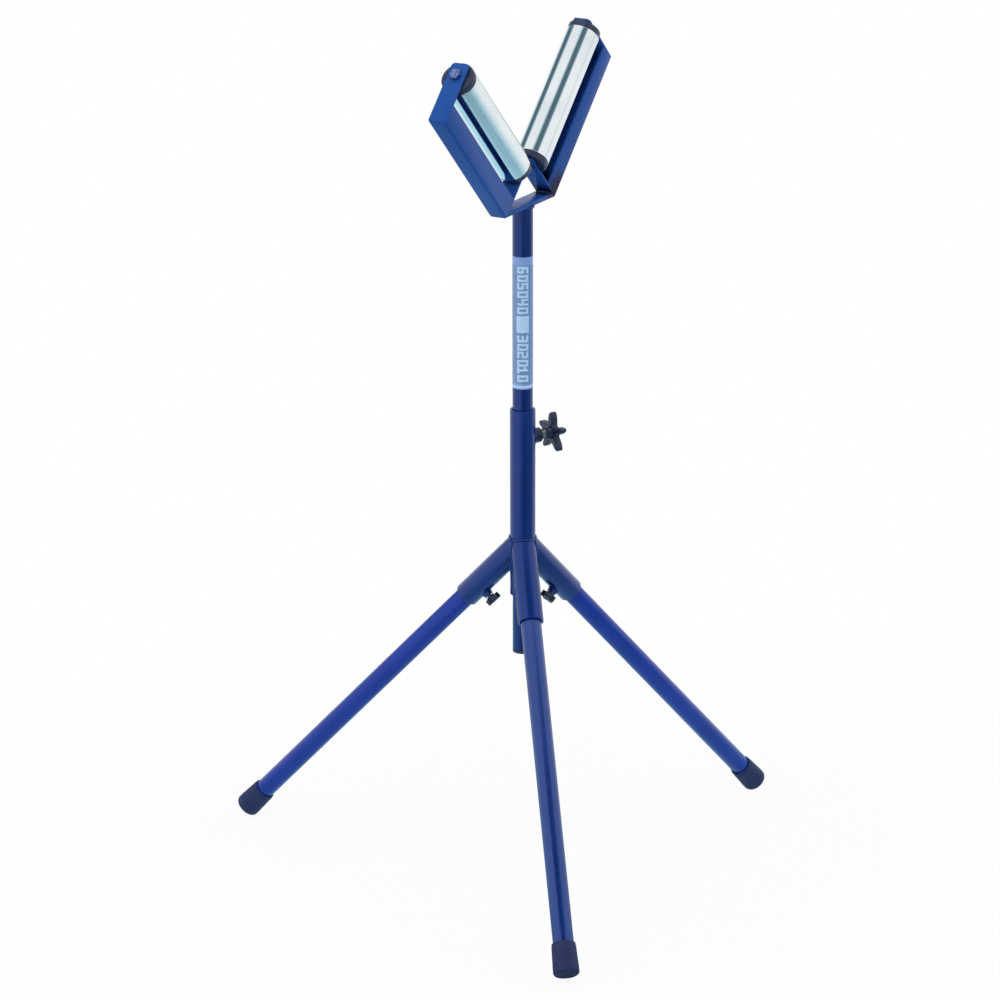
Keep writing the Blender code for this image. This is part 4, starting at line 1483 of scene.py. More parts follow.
@dataclass
class Tripod:
    """The column with the three leg sockets welded round it."""

    socket_length: float = 118.0 * MM
    rim_edge: float = 0.6 * MM
    bead_radius: float = 2.1 * MM

    def build(self) -> None:
        """Make the column, the sockets and the beads between them."""
        self.build_column()
        for leg in Leg:
            self.build_socket(leg)
            self.weld_socket(leg)
            self.weld_neighbours(leg)

    def build_column(self) -> None:
        """The outer tube, with rounded rims."""
        low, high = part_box("column_tube")
        column = Bench.tube(
            "column_drawn_tube", LAYOUT.tube_radius, LAYOUT.tube_radius - LAYOUT.tube_wall,
            low.z, high.z, 128, self.rim_edge,
        )
        fit(Bench.lay(column, LAYOUT.upright()), ENAMEL, "column_tube", "column_tube")

    def build_socket(self, leg: Leg) -> None:
        """A tube coped to the column and mitred against its neighbours.

        Args:
            leg: The socket's leg.
        """
        node = f"leg_socket_{leg.value}"
        seat = LAYOUT.leg(leg)
        radius = LAYOUT.tube_radius
        socket = Bench.tube(
            f"leg_socket_coped_{leg.value}", radius, radius - LAYOUT.tube_wall, -radius,
            self.socket_length, 96, self.rim_edge,
        )
        Bench.lay(socket, seat)
        cope = Bench.start(
            "cope", bpy.ops.mesh.primitive_cylinder_add, vertices=128,
            radius=radius + LAYOUT.seam / 2.0, depth=4.0 * self.socket_length, location=seat.origin,
        )
        Bench.carve(socket, cope, Cut.AWAY)
        size = 2.0 * self.socket_length
        for side in (-1.0, 1.0):
            turn = math.atan2(seat.z.y, seat.z.x) + side * LAYOUT.half_step
            away = Vector((-math.sin(turn), math.cos(turn), 0.0)) * side
            block = Bench.start(
                "mitre", bpy.ops.mesh.primitive_cube_add, size=size,
                location=seat.origin + away * (size / 2.0 - LAYOUT.seam / 4.0),
                rotation=(0.0, 0.0, turn),
            )
            Bench.carve(socket, block, Cut.AWAY)
        Bench.smooth(socket)
        fit(socket, ENAMEL, node, node)

    def rim(self, leg: Leg, turn: float) -> tuple[Vector, bool]:
        """A point of a socket's cut end.

        Args:
            leg: The socket's leg.
            turn: The angle round the socket, from its underside.

        Returns:
            The point, and whether it lies on the column and not on a neighbour.
        """
        seat = LAYOUT.leg(leg)
        radius = LAYOUT.tube_radius
        side = seat.at(radius * math.cos(turn), radius * math.sin(turn), 0.0) - seat.origin
        along = seat.z.xy
        across = side.xy
        half = along.dot(across) / along.length_squared
        rest = (across.length_squared - radius**2) / along.length_squared
        runs = [-half + math.sqrt(max(0.0, half * half - rest))]
        heading = math.atan2(seat.z.y, seat.z.x)
        for sign in (-1.0, 1.0):
            plane = heading + sign * LAYOUT.half_step
            normal = Vector((-math.sin(plane), math.cos(plane))) * sign
            runs.append(-across.dot(normal) / along.dot(normal))
        run = max(runs)
        return seat.origin + side + seat.z * run, run <= runs[0] + HAIR

    def weld_socket(self, leg: Leg) -> None:
        """Beads along a socket's cut end where it meets the column.

        Args:
            leg: The socket's leg.
        """
        steps = 180
        points = [self.rim(leg, FULL_TURN * step / steps) for step in range(steps)]
        begin = next(n for n in range(steps) if points[n][1] and not points[n - 1][1])
        turned = points[begin:] + points[:begin]
        seams: list[list[Vector]] = []
        previous = False
        for point, on_column in turned:
            if on_column and not previous:
                seams.append([])
            if on_column:
                seams[-1].append(point)
            previous = on_column
        for number, seam in enumerate(seams):
            bead = Bench.bead(
                f"leg_socket_weld_{leg.value}_{number + 1}", seam, self.bead_radius, False
            )
            fit(bead, ENAMEL, f"leg_socket_{leg.value}")

    def weld_neighbours(self, leg: Leg) -> None:
        """A bead in the valley between a socket and the next one round.

        Args:
            leg: The first socket's leg.
        """
        steps = 360
        heading = LAYOUT.leg(leg).z.xy
        points = [self.rim(leg, FULL_TURN * step / steps) for step in range(steps)]
        axis = LAYOUT.axis
        seam = []
        for point, on_column in points:
            left_of = heading.x * (point - axis).y - heading.y * (point - axis).x > 0.0
            if not on_column and left_of:
                seam.append(point)
        gaps = [(seam[n] - seam[n - 1]).length for n in range(len(seam))]
        cut = max(range(len(seam)), key=lambda n: gaps[n])
        seam = seam[cut:] + seam[:cut]
        bead = Bench.bead(f"leg_socket_valley_weld_{leg.value}", seam, self.bead_radius, False)
        fit(bead, ENAMEL, f"leg_socket_{leg.value}")


@dataclass
class LegSet:
    """One leg: its tube, its rubber foot and its clamp.

    Attributes:
        leg: Which leg it is.
        reach: From the junction to the foot's end, along the leg.
        column_gap: The least distance between the tube and the column.
        sole: The thickness of the rubber under the tube.
        foot_radius: The foot's radius over its skirt, and lip_radius over its lip.
        foot_length: The foot's length, of which the skirt is the thicker part.
        edge: The rounding of the foot's end.
        ring: How deep the grooves round the foot are.
    """

    leg: Leg
    reach: float = 606.5 * MM
    column_gap: float = 0.6 * MM
    sole: float = 5.0 * MM
    foot_radius: float = 16.89 * MM
    lip_radius: float = 15.6 * MM
    foot_length: float = 42.0 * MM
    skirt: float = 12.0 * MM
    edge: float = 4.0 * MM
    ring: float = 0.35 * MM

    def build(self) -> None:
        """Make the tube, the foot and the clamp."""
        self.build_tube()
        self.build_foot()
        leg_clamp(self.leg).build()

    def build_tube(self) -> None:
        """A drawn tube from just off the column to the foot's sole."""
        node = f"leg_tube_{self.leg.value}"
        lean = LAYOUT.leg_lean
        clear = LAYOUT.tube_radius + self.column_gap
        start = (clear + LAYOUT.inner_radius * math.cos(lean)) / math.sin(lean)
        tube = Bench.tube(
            f"leg_drawn_tube_{self.leg.value}", LAYOUT.inner_radius,
            LAYOUT.inner_radius - LAYOUT.inner_wall, start, self.reach - self.sole - LAYOUT.seam,
        )
        # The front leg takes the enamel darkened as painted shade, the left and right legs the one
        # lightened as painted light.
        finish = SHADED_FRONT_ENAMEL if self.leg is Leg.FRONT else LIT_LEG_ENAMEL
        fit(Bench.lay(tube, LAYOUT.leg(self.leg)), finish, node, node)

    def build_foot(self) -> None:
        """A moulded cap with a rolled lip and two rings, flat on the floor."""
        node = f"foot_cap_{self.leg.value}"
        bore = LAYOUT.inner_radius + LAYOUT.seam
        wide, lip = self.foot_radius, self.lip_radius
        skirt, top = -self.skirt, -self.foot_length
        groove = wide - self.ring - 0.1 * MM
        corners = [
            (0.0, 0.0), (wide, 0.0), (wide, skirt), (wide - 0.02 * MM, skirt - MM),
            (groove, skirt - 1.6 * MM), (groove, skirt - 2.6 * MM),
            (wide - 0.25 * MM, skirt - 3.2 * MM), (lip + 0.25 * MM, top + 4.0 * MM),
            (lip - 0.25 * MM, top + 3.4 * MM), (lip - 0.1 * MM, top), (bore, top),
            (bore, -self.sole), (0.0, -self.sole),
        ]
        small, fine = 0.3 * MM, 0.2 * MM
        radii = (
            0.0, self.edge, 0.0, small, small, small, small, fine, fine, 0.9 * MM, 0.5 * MM,
            0.0, 0.0,
        )
        foot = Bench.lathe(f"foot_moulded_cap_{self.leg.value}", rounded(corners, radii))
        Bench.lay(foot, LAYOUT.leg(self.leg).further(self.reach))
        with Bench.editing(foot):
            bpy.ops.mesh.bisect(
                plane_co=(0.0, 0.0, 0.0), plane_no=tuple(UP), use_fill=True, clear_inner=True,
                threshold=CUT_WITHIN,
            )
        Bench.smooth(foot)
        fit(foot, RUBBER, node, node)


@dataclass
class Label:
    """The film round the post, with plain block numbers as a height scale.

    Attributes:
        low: The height of its lower edge.
        high: The height of its upper edge.
        facing: The direction that its middle faces.
        width: How far it runs round the post.
        margin: The pale rim beside the printed ground.
        rim_top: The pale rim above the ground, and rim_bottom the one below it.
        line_height: The height of the pale line near the bottom.
        line_rise: The middle of that line above the film's lower edge.
        film: The film's thickness.
        ink: The ink's thickness.
        cell: The side of one square of a block number.
        numbers: Each number with its distance below the film's top.
        blank: The top and the bottom of the plain block between the numbers.
        blank_width: The width of that block.
        tick_step: The distance between two ticks of the scale.
    """

    low: float = 664.0 * MM
    high: float = 842.0 * MM
    facing: float = math.radians(208.9)
    width: float = 54.0 * MM
    margin: float = 2.4 * MM
    rim_top: float = 11.0 * MM
    rim_bottom: float = 7.5 * MM
    line_height: float = 3.2 * MM
    line_rise: float = 3.4 * MM
    film: float = 0.12 * MM
    ink: float = 0.04 * MM
    cell: float = 3.0 * MM
    numbers: Sequence[tuple[str, float]] = (
        ("60", 22.5 * MM), ("50", 44.0 * MM), ("40", 65.5 * MM), ("30", 115.0 * MM),
        ("20", 136.5 * MM), ("10", 157.5 * MM),
    )
    blank: tuple[float, float] = (78.5 * MM, 101.5 * MM)
    blank_width: float = 17.0 * MM
    tick_step: float = 5.0 * MM

    @property
    def tall(self) -> float:
        """The film's height."""
        return self.high - self.low

    def build(self) -> None:
        """Cut the film, its ground and its print flat, then wrap them round the post."""
        half = self.tall / 2.0
        film = self.card("label_film", self.width, self.tall, 2.0 * MM, (0.0, 0.0))
        fit(self.wrap(film, 0.0), LABEL_RIM, "post_tube")
        wide = self.width - 2.0 * self.margin
        top, bottom = half - self.rim_top, -half + self.rim_bottom
        middle = (0.0, (top + bottom) / 2.0)
        ground = self.card("label_ground", wide, top - bottom, 3.6 * MM, middle)
        fit(self.wrap(ground, self.film), LABEL_GROUND, "post_tube")
        middle = (0.0, -half + self.line_rise)
        line = self.card("line", wide + MM, self.line_height, 1.4 * MM, middle)
        block_top, block_bottom = (half - place for place in self.blank)
        middle = (0.0, (block_top + block_bottom) / 2.0)
        block = self.card("block", self.blank_width, block_top - block_bottom, 1.5 * MM, middle)
        digits = [self.digit(*place) for place in self.places()]
        marks = Bench.join("label_print", [line, block, *digits, *self.ticks(bottom, top)])
        fit(self.wrap(marks, self.film + self.ink), LABEL_PRINT, "post_tube")

    def card(
        self, name: str, wide: float, tall: float, corner: float, middle: tuple[float, float]
    ) -> Piece:
        """A flat card with rounded corners, its X across the label and its Y up the post.

        Args:
            name: The card's name.
            wide: Its width.
            tall: Its height.
            corner: Its corners' radius.
            middle: Its middle, across and up.

        Returns:
            The card.
        """
        card = Bench.start(
            name, bpy.ops.mesh.primitive_plane_add, size=1.0, location=(middle[0], middle[1], 0.0)
        )
        with Bench.editing(card):
            bpy.ops.transform.resize(value=(wide, tall, 1.0), center_override=(*middle, 0.0))
            if corner > 0.0:
                bpy.ops.mesh.bevel(offset=corner, segments=8, affect="VERTICES")
        return card

    def places(self) -> list[tuple[str, float]]:
        """Each digit with the height of its middle on the film.

        Returns:
            Each digit with its middle's height.
        """
        found = []
        for number, below in self.numbers:
            for count, digit in enumerate(number):
                shift = (count - (len(number) - 1) / 2.0) * 3.75 * self.cell
                found.append((digit, self.tall / 2.0 - below - shift))
        return found

    def digit(self, digit: str, height: float) -> Piece:
        """A grid of squares that keeps only the digit's own, turned to read down the post.

        Args:
            digit: The digit.
            height: Its middle's height.

        Returns:
            The digit.
        """
        piece = Bench.start(
            "digit", bpy.ops.mesh.primitive_grid_add, x_subdivisions=3, y_subdivisions=5, size=1.0
        )
        rows = BLOCK_DIGITS[digit]

        def is_blank(face: bmesh.types.BMFace) -> bool:
            """Whether a square isn't part of the digit."""
            middle = face.calc_center_median()
            return rows[int((0.5 - middle.y) * 5)][int((middle.x + 0.5) * 3)] == " "

        with Bench.editing(piece):
            Bench.pick(piece, Part.FACES, is_blank)
            bpy.ops.mesh.delete(type="FACE")
            bpy.ops.mesh.select_all(action="SELECT")
            bpy.ops.transform.resize(value=(3.0 * self.cell, 5.0 * self.cell, 1.0))
        quarter = Matrix.Rotation(math.radians(-90.0), 4, "Z")
        piece.data.transform(Matrix.Translation((0.0, height, 0.0)) @ quarter)
        return piece

    def ticks(self, low: float, high: float) -> list[Piece]:
        """Short ticks down both sides, each second one longer.

        Args:
            low: The lower end.
            high: The upper end.

        Returns:
            The ticks.
        """
        made = []
        outer = self.width / 2.0 - self.margin - 2.0 * MM
        for number in range(1, int((high - low) / self.tick_step)):
            run = (4.0 if number % 2 == 0 else 2.4) * MM
            height = high - number * self.tick_step
            for sign in (-1.0, 1.0):
                middle = (sign * (outer - run / 2.0), height)
                made.append(self.card("tick", run, 0.7 * MM, 0.0, middle))
        return made

    def wrap(self, piece: Piece, rise: float) -> Piece:
        """Slice a flat piece upright, bend it round the post and give it its thickness.

        Args:
            piece: The flat piece, its X across the label and its Y up the post.
            rise: How far its back stands off the post.

        Returns:
            The piece, closed and in its place.
        """
        slices = 54
        thick = self.ink if rise else self.film
        with Bench.editing(piece):
            bpy.ops.mesh.remove_doubles(threshold=MERGE_WITHIN)
            Bench.pick(piece, Part.FACES, lambda face: face.normal.z < 0.0)
            bpy.ops.mesh.flip_normals()
            for number in range(1, slices):
                bpy.ops.mesh.select_all(action="SELECT")
                place = self.width * (number / slices - 0.5)
                bpy.ops.mesh.bisect(
                    plane_co=(place, 0.0, 0.0), plane_no=(1.0, 0.0, 0.0), threshold=CUT_WITHIN
                )
        Bench.modify(piece, "SOLIDIFY", thickness=thick, offset=-1.0)
        centre = (self.low + self.high) / 2.0
        for point in piece.data.vertices:
            turn = self.facing + point.co.x / LAYOUT.inner_radius
            radius = LAYOUT.inner_radius + rise + thick + point.co.z
            point.co = (radius * math.cos(turn), radius * math.sin(turn), centre + point.co.y)
        Bench.lay(piece, LAYOUT.upright())
        Bench.smooth(piece)
        return piece


@dataclass
class Post:
    """The telescoping post with its plug, its base plate and its label."""

    plug_flange: float = 5.0 * MM
    spigot_wall: float = 2.4 * MM
    ribs: int = 4
    rib_depth: float = 0.5 * MM
    bead_radius: float = 2.0 * MM
    plate_bead_radius: float = 1.5 * MM

    def build(self) -> None:
        """Make the post, the plug, the plate, their beads and the label."""
        self.build_post()
        self.build_plug()
        self.build_plate()
        Label().build()

    def build_post(self) -> None:
        """The inner tube."""
        low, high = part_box("post_tube")
        post = Bench.tube(
            "post_drawn_tube", LAYOUT.inner_radius, LAYOUT.inner_radius - LAYOUT.inner_wall,
            low.z, high.z, 128,
        )
        fit(Bench.lay(post, LAYOUT.upright()), SLIDING_ENAMEL, "post_tube", "post_tube")

    def build_plug(self) -> None:
        """A plastic plug with a ribbed spigot and a rounded flange."""
        low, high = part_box("post_end_plug")
        radius = LAYOUT.inner_radius
        spigot = radius - LAYOUT.inner_wall - LAYOUT.seam
        flange = low.z + self.plug_flange
        inside = spigot - self.spigot_wall
        valley = spigot - self.rib_depth
        corners = [(0.0, flange), (inside, flange), (inside, high.z)]
        radii = [0.0, 0.0, 0.3 * MM]
        pitch = (high.z - flange) / (self.ribs + 1)
        for rib in range(self.ribs + 1):
            top = high.z - rib * pitch
            corners += [(valley, top), (spigot, top - 0.75 * pitch)]
            radii += [0.2 * MM if rib == 0 else 0.0, 0.0]
        corners += [(valley, flange), (radius, flange), (radius, low.z), (0.0, low.z)]
        radii += [0.0, 0.3 * MM, 1.6 * MM, 0.0]
        plug = Bench.lathe("post_ribbed_plug", rounded(corners, radii))
        fit(Bench.lay(plug, LAYOUT.upright()), PLASTIC, "post_end_plug", "post_end_plug")

    def build_plate(self) -> None:
        """The base plate with softened edges, welded to the post and to both arms."""
        plate = Bench.copy_solid("head_base_plate", "head_bevelled_plate")
        Bench.soften(plate, 0.7 * MM, 3)
        fit(plate, HEAD_ENAMEL, "head_base_plate", "head_base_plate")

        low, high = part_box("head_base_plate")
        axis = LAYOUT.axis
        proud = 0.4 * MM
        radius = LAYOUT.inner_radius + proud
        steps = 90
        ring = []
        for step in range(steps):
            turn = FULL_TURN * step / steps
            x, y = axis.x + radius * math.cos(turn), axis.y + radius * math.sin(turn)
            ring.append(Vector((x, y, low.z - 0.5 * MM)))
        fit(Bench.bead("post_top_weld", ring, self.bead_radius, True), ENAMEL, "head_base_plate")
        inset = 1.5 * MM
        thick = high.z - low.z
        for side, sign, edge in ((Side.LEFT, -1.0, low.x), (Side.RIGHT, 1.0, high.x)):
            for place, level, depth in (("under", low.z, 0.0), ("top", high.z, thick)):
                x = edge - sign * (depth - proud)
                seam = [Vector((x, low.y + inset, level)), Vector((x, high.y - inset, level))]
                name = f"plate_{place}_weld_{side.value}"
                bead = Bench.bead(name, seam, self.plate_bead_radius, False)
                fit(bead, ENAMEL, "head_base_plate")


@dataclass
class RollerArm:
    """One arm of the V: its folded channel, roller, bearings and axle.

    Attributes:
        side: Which arm it is.
        sheet: The thickness of the channel's sheet.
        roller_radius: The roller's radius, with its roller_wall.
        cap_face: How far a cap's face stands from the ear's outside.
        cap_flange: The length of the cap outside the roller, cap_step lower than it.
        cap_groove: The radii between which a shallow groove runs round the cap's face.
        cap_clearance: The room between the shaft and the cap.
        spigot: The length of the cap inside the roller.
        shaft_radius: The bolt's radius, with its thread's pitch.
        bearing_radius: The bearing's radius, with its bearing_width.
        bearing_sunk: How deep the bearing sits in the cap.
        bearing_land: The width of each of its rings.
        spacer_wall: The wall of the spacer.
        hex_across: The head's and the nut's size across flats.
        head_height: The height of the bolt's head.
        nut_height: The height of the nut.
        turned_radius: The radius of the head's washer face and of the nut's collar.
        tip: How far the bolt reaches past the nut.
    """

    side: Side
    sheet: float = 2.5 * MM
    roller_radius: float = 22.5 * MM
    roller_wall: float = 1.5 * MM
    cap_face: float = 4.0 * MM
    cap_flange: float = 9.0 * MM
    cap_step: float = 0.6 * MM
    cap_groove: tuple[float, float] = (13.8 * MM, 16.6 * MM)
    cap_clearance: float = 3.0 * MM
    spigot: float = 12.0 * MM
    shaft_radius: float = 4.0 * MM
    pitch: float = 1.25 * MM
    bearing_radius: float = 11.0 * MM
    bearing_width: float = 7.0 * MM
    bearing_sunk: float = 1.2 * MM
    bearing_land: float = 2.1 * MM
    spacer_wall: float = 2.0 * MM
    hex_across: float = 13.0 * MM
    head_height: float = 5.3 * MM
    nut_height: float = 6.5 * MM
    turned_radius: tuple[float, float] = (5.9 * MM, 5.8 * MM)
    tip: float = 3.0 * MM

    def build(self) -> None:
        """Make the channel, the roller, both its ends and the axle."""
        self.build_channel()
        self.build_roller()
        for end in End:
            self.build_cap(end)
            self.build_bearing(end)
            self.build_spacer(end)
        self.build_bolt()
        self.build_nut()

    def named(self, name: str, end: End | None = None) -> str:
        """A name with the arm's side, and the end where there is one."""
        return f"{name}_{self.side.value}" + (f"_{end.value}" if end else "")

    def build_channel(self) -> None:
        """The folded sheet, with the sheet's own edges softened."""
        node = self.named("roller_channel")
        channel = Bench.copy_solid(node, self.named("arm_folded_channel"))
        Bench.soften(channel, 0.45 * MM, 3)
        fit(channel, HEAD_ENAMEL, node, node)

    def build_roller(self) -> None:
        """The steel tube that turns, with rolled rims."""
        node = self.named("roller_tube")
        start = self.cap_face + self.cap_flange + LAYOUT.seam
        inside = self.roller_radius - self.roller_wall
        roller = Bench.tube(
            self.named("roller_bright_tube"), self.roller_radius, inside,
            start, LAYOUT.channel_length - start, 160, 0.6 * MM,
        )
        Bench.modify(roller, "WEIGHTED_NORMAL", keep_sharp=True)
        chrome = BrightChrome(name=self.named("bright_chrome_turned"), side=self.side)
        fit(Bench.lay(roller, LAYOUT.axle(self.side)), chrome, node, node)

    def build_cap(self, end: End) -> None:
        """A moulded cap that carries the bearing, with a groove round its face.

        Args:
            end: The roller's end.
        """
        node = self.named("roller_cap", end)
        rim = self.roller_radius - self.cap_step
        flange_end = self.cap_face + self.cap_flange
        inside = self.roller_radius - self.roller_wall - LAYOUT.seam
        seat = self.bearing_radius + LAYOUT.seam
        seat_end = self.cap_face + self.bearing_sunk + self.bearing_width + LAYOUT.seam
        hole = self.shaft_radius + self.cap_clearance
        face = self.cap_face
        spigot_end = flange_end + self.spigot
        near, far = self.cap_groove
        slant = 0.4 * MM
        sunk = face + 0.7 * MM
        corners = [
            (hole, spigot_end), (inside, spigot_end), (inside, flange_end), (rim, flange_end),
            (rim, face), (far, face), (far - slant, sunk), (near + slant, sunk), (near, face),
            (seat, face), (seat, seat_end), (hole, seat_end), (hole, spigot_end),
        ]
        small, fine = 0.3 * MM, 0.2 * MM
        radii = (
            0.0, 0.8 * MM, 0.0, 0.4 * MM, 2.2 * MM, fine, small, small, fine, 0.5 * MM, 0.0,
            0.4 * MM, 0.0,
        )
        cap = Bench.lathe(self.named("roller_moulded_cap", end), rounded(corners, radii), 128)
        fit(Bench.lay(cap, LAYOUT.roller_end(self.side, end)), PLASTIC, node, node)

    def build_bearing(self, end: End) -> None:
        """The bearing's two rings with a rubber seal between them.

        Args:
            end: The roller's end.
        """
        node = self.named("roller_bearing", end)
        seat = LAYOUT.roller_end(self.side, end)
        bore = self.shaft_radius + LAYOUT.seam
        face = self.cap_face + self.bearing_sunk
        back = face + self.bearing_width
        outer = self.bearing_radius
        inner_land, outer_land = bore + self.bearing_land, outer - self.bearing_land
        rings = []
        for near, far in ((bore, inner_land), (outer_land, outer)):
            corners = [(near, face), (far, face), (far, back), (near, back), (near, face)]
            radii = (0.0, 0.3 * MM, 0.3 * MM, 0.3 * MM, 0.0)
            rings.append(Bench.lathe("ring", rounded(corners, radii, 3), 64))
        races = Bench.join(self.named("bearing_rings", end), rings)
        fit(Bench.lay(races, seat), ZINC, node, node)
        crown = face + 0.35 * MM
        rim = crown + 0.2 * MM
        inside = back - 0.5 * MM
        middle = (bore + outer) / 2.0
        corners = [
            (inner_land, rim), (middle - 0.8 * MM, crown), (middle + 0.8 * MM, crown),
            (outer_land, rim), (outer_land, inside), (inner_land, inside), (inner_land, rim),
        ]
        seal = Bench.lathe(self.named("bearing_seal", end), corners, 64)
        fit(Bench.lay(seal, seat), SEAL, node)

    def build_spacer(self, end: End) -> None:
        """The spacer between the ear and the bearing.

        Args:
            end: The roller's end.
        """
        node = self.named("axle_spacer", end)
        bore = self.shaft_radius + LAYOUT.seam
        near, far = self.sheet + LAYOUT.seam, self.cap_face + self.bearing_sunk - LAYOUT.seam
        spacer = Bench.tube(
            self.named("axle_turned_spacer", end), bore + self.spacer_wall, bore, near, far, 64,
            0.25 * MM,
        )
        fit(Bench.lay(spacer, LAYOUT.roller_end(self.side, end)), ZINC, node, node)

    def build_bolt(self) -> None:
        """The through bolt: a chamfered head, a plain shank and a threaded tip."""
        node = self.named("axle_bolt")
        face = LAYOUT.channel_length + LAYOUT.seam
        wide = self.turned_radius[0]
        back = face + 0.5 * MM
        corners = [(0.0, back), (wide, back), (wide, face), (0.0, face)]
        washer = Bench.lathe("washer_face", rounded(corners, (0.0, 0.0, 0.2 * MM, 0.0)), 64)
        top = face + self.head_height
        head = Bench.hexagon("head", self.hex_across, face + 0.3 * MM, top, 0.92)
        end = -(LAYOUT.seam + self.nut_height + self.tip)
        radius = self.shaft_radius
        core = radius - 0.58 * self.pitch
        plain = 9.0 * MM
        slant = 0.8 * MM
        corners = [
            (0.0, face + MM), (radius, face + MM), (radius, plain), (core, plain - slant),
            (core, end + slant), (core - slant, end), (0.0, end),
        ]
        shank = Bench.lathe("shank", corners, 48)
        winding = Bench.thread("winding", radius, self.pitch, end + 0.4 * MM, plain)
        bolt = Bench.join(self.named("axle_through_bolt"), [head, washer, shank, winding])
        fit(Bench.lay(bolt, LAYOUT.axle(self.side)), BLACKENED, node, node)

    def build_nut(self) -> None:
        """The lock nut, with a turned collar on its outer end."""
        node = self.named("axle_nut")
        low = -LAYOUT.seam - self.nut_height
        high = -LAYOUT.seam
        collar = 1.7 * MM
        nut = Bench.hexagon("nut", self.hex_across, low + collar, high)
        bore = self.shaft_radius + 0.1 * MM
        corners = [(0.0, high + MM), (bore, high + MM), (bore, low - MM), (0.0, low - MM)]
        Bench.carve(nut, Bench.lathe("nut_bore", corners, 48), Cut.AWAY)
        Bench.smooth(nut, 20.0)
        wide = self.turned_radius[1]
        top = low + collar + 0.3 * MM
        corners = [(bore, top), (wide, top), (wide, low), (bore, low), (bore, top)]
        profile = rounded(corners, (0.0, 0.0, 0.7 * MM, 0.2 * MM, 0.0))
        whole = Bench.join(self.named("axle_lock_nut"), [nut, Bench.lathe("collar", profile, 64)])
        fit(Bench.lay(whole, LAYOUT.axle(self.side)), BLACKENED, node, node)


@dataclass(frozen=True)
class Gap:
    """A dark gap between two of the room's panels.

    Attributes:
        ahead: How far its direction points towards the camera.
        right: How far it points to the picture's right.
        up: How far it points up.
        core: The half angle of its dark core, in degrees.
        edge: The half angle where it ends, in degrees.
        level: The light that is left in the core.
    """

    ahead: float
    right: float
    up: float
    core: float
    edge: float
    level: float


@dataclass(frozen=True)
class Lamp:
    """A large soft lamp, whose place is measured from a point in the column.

    Attributes:
        name: Its name.
        right: How far it hangs to the picture's right.
        ahead: How far it hangs towards the camera.
        up: How far it hangs above that point.
        size: The side of its square.
        power: Its power in watts.
    """

    name: str
    right: float
    ahead: float
    up: float
    size: float
    power: float


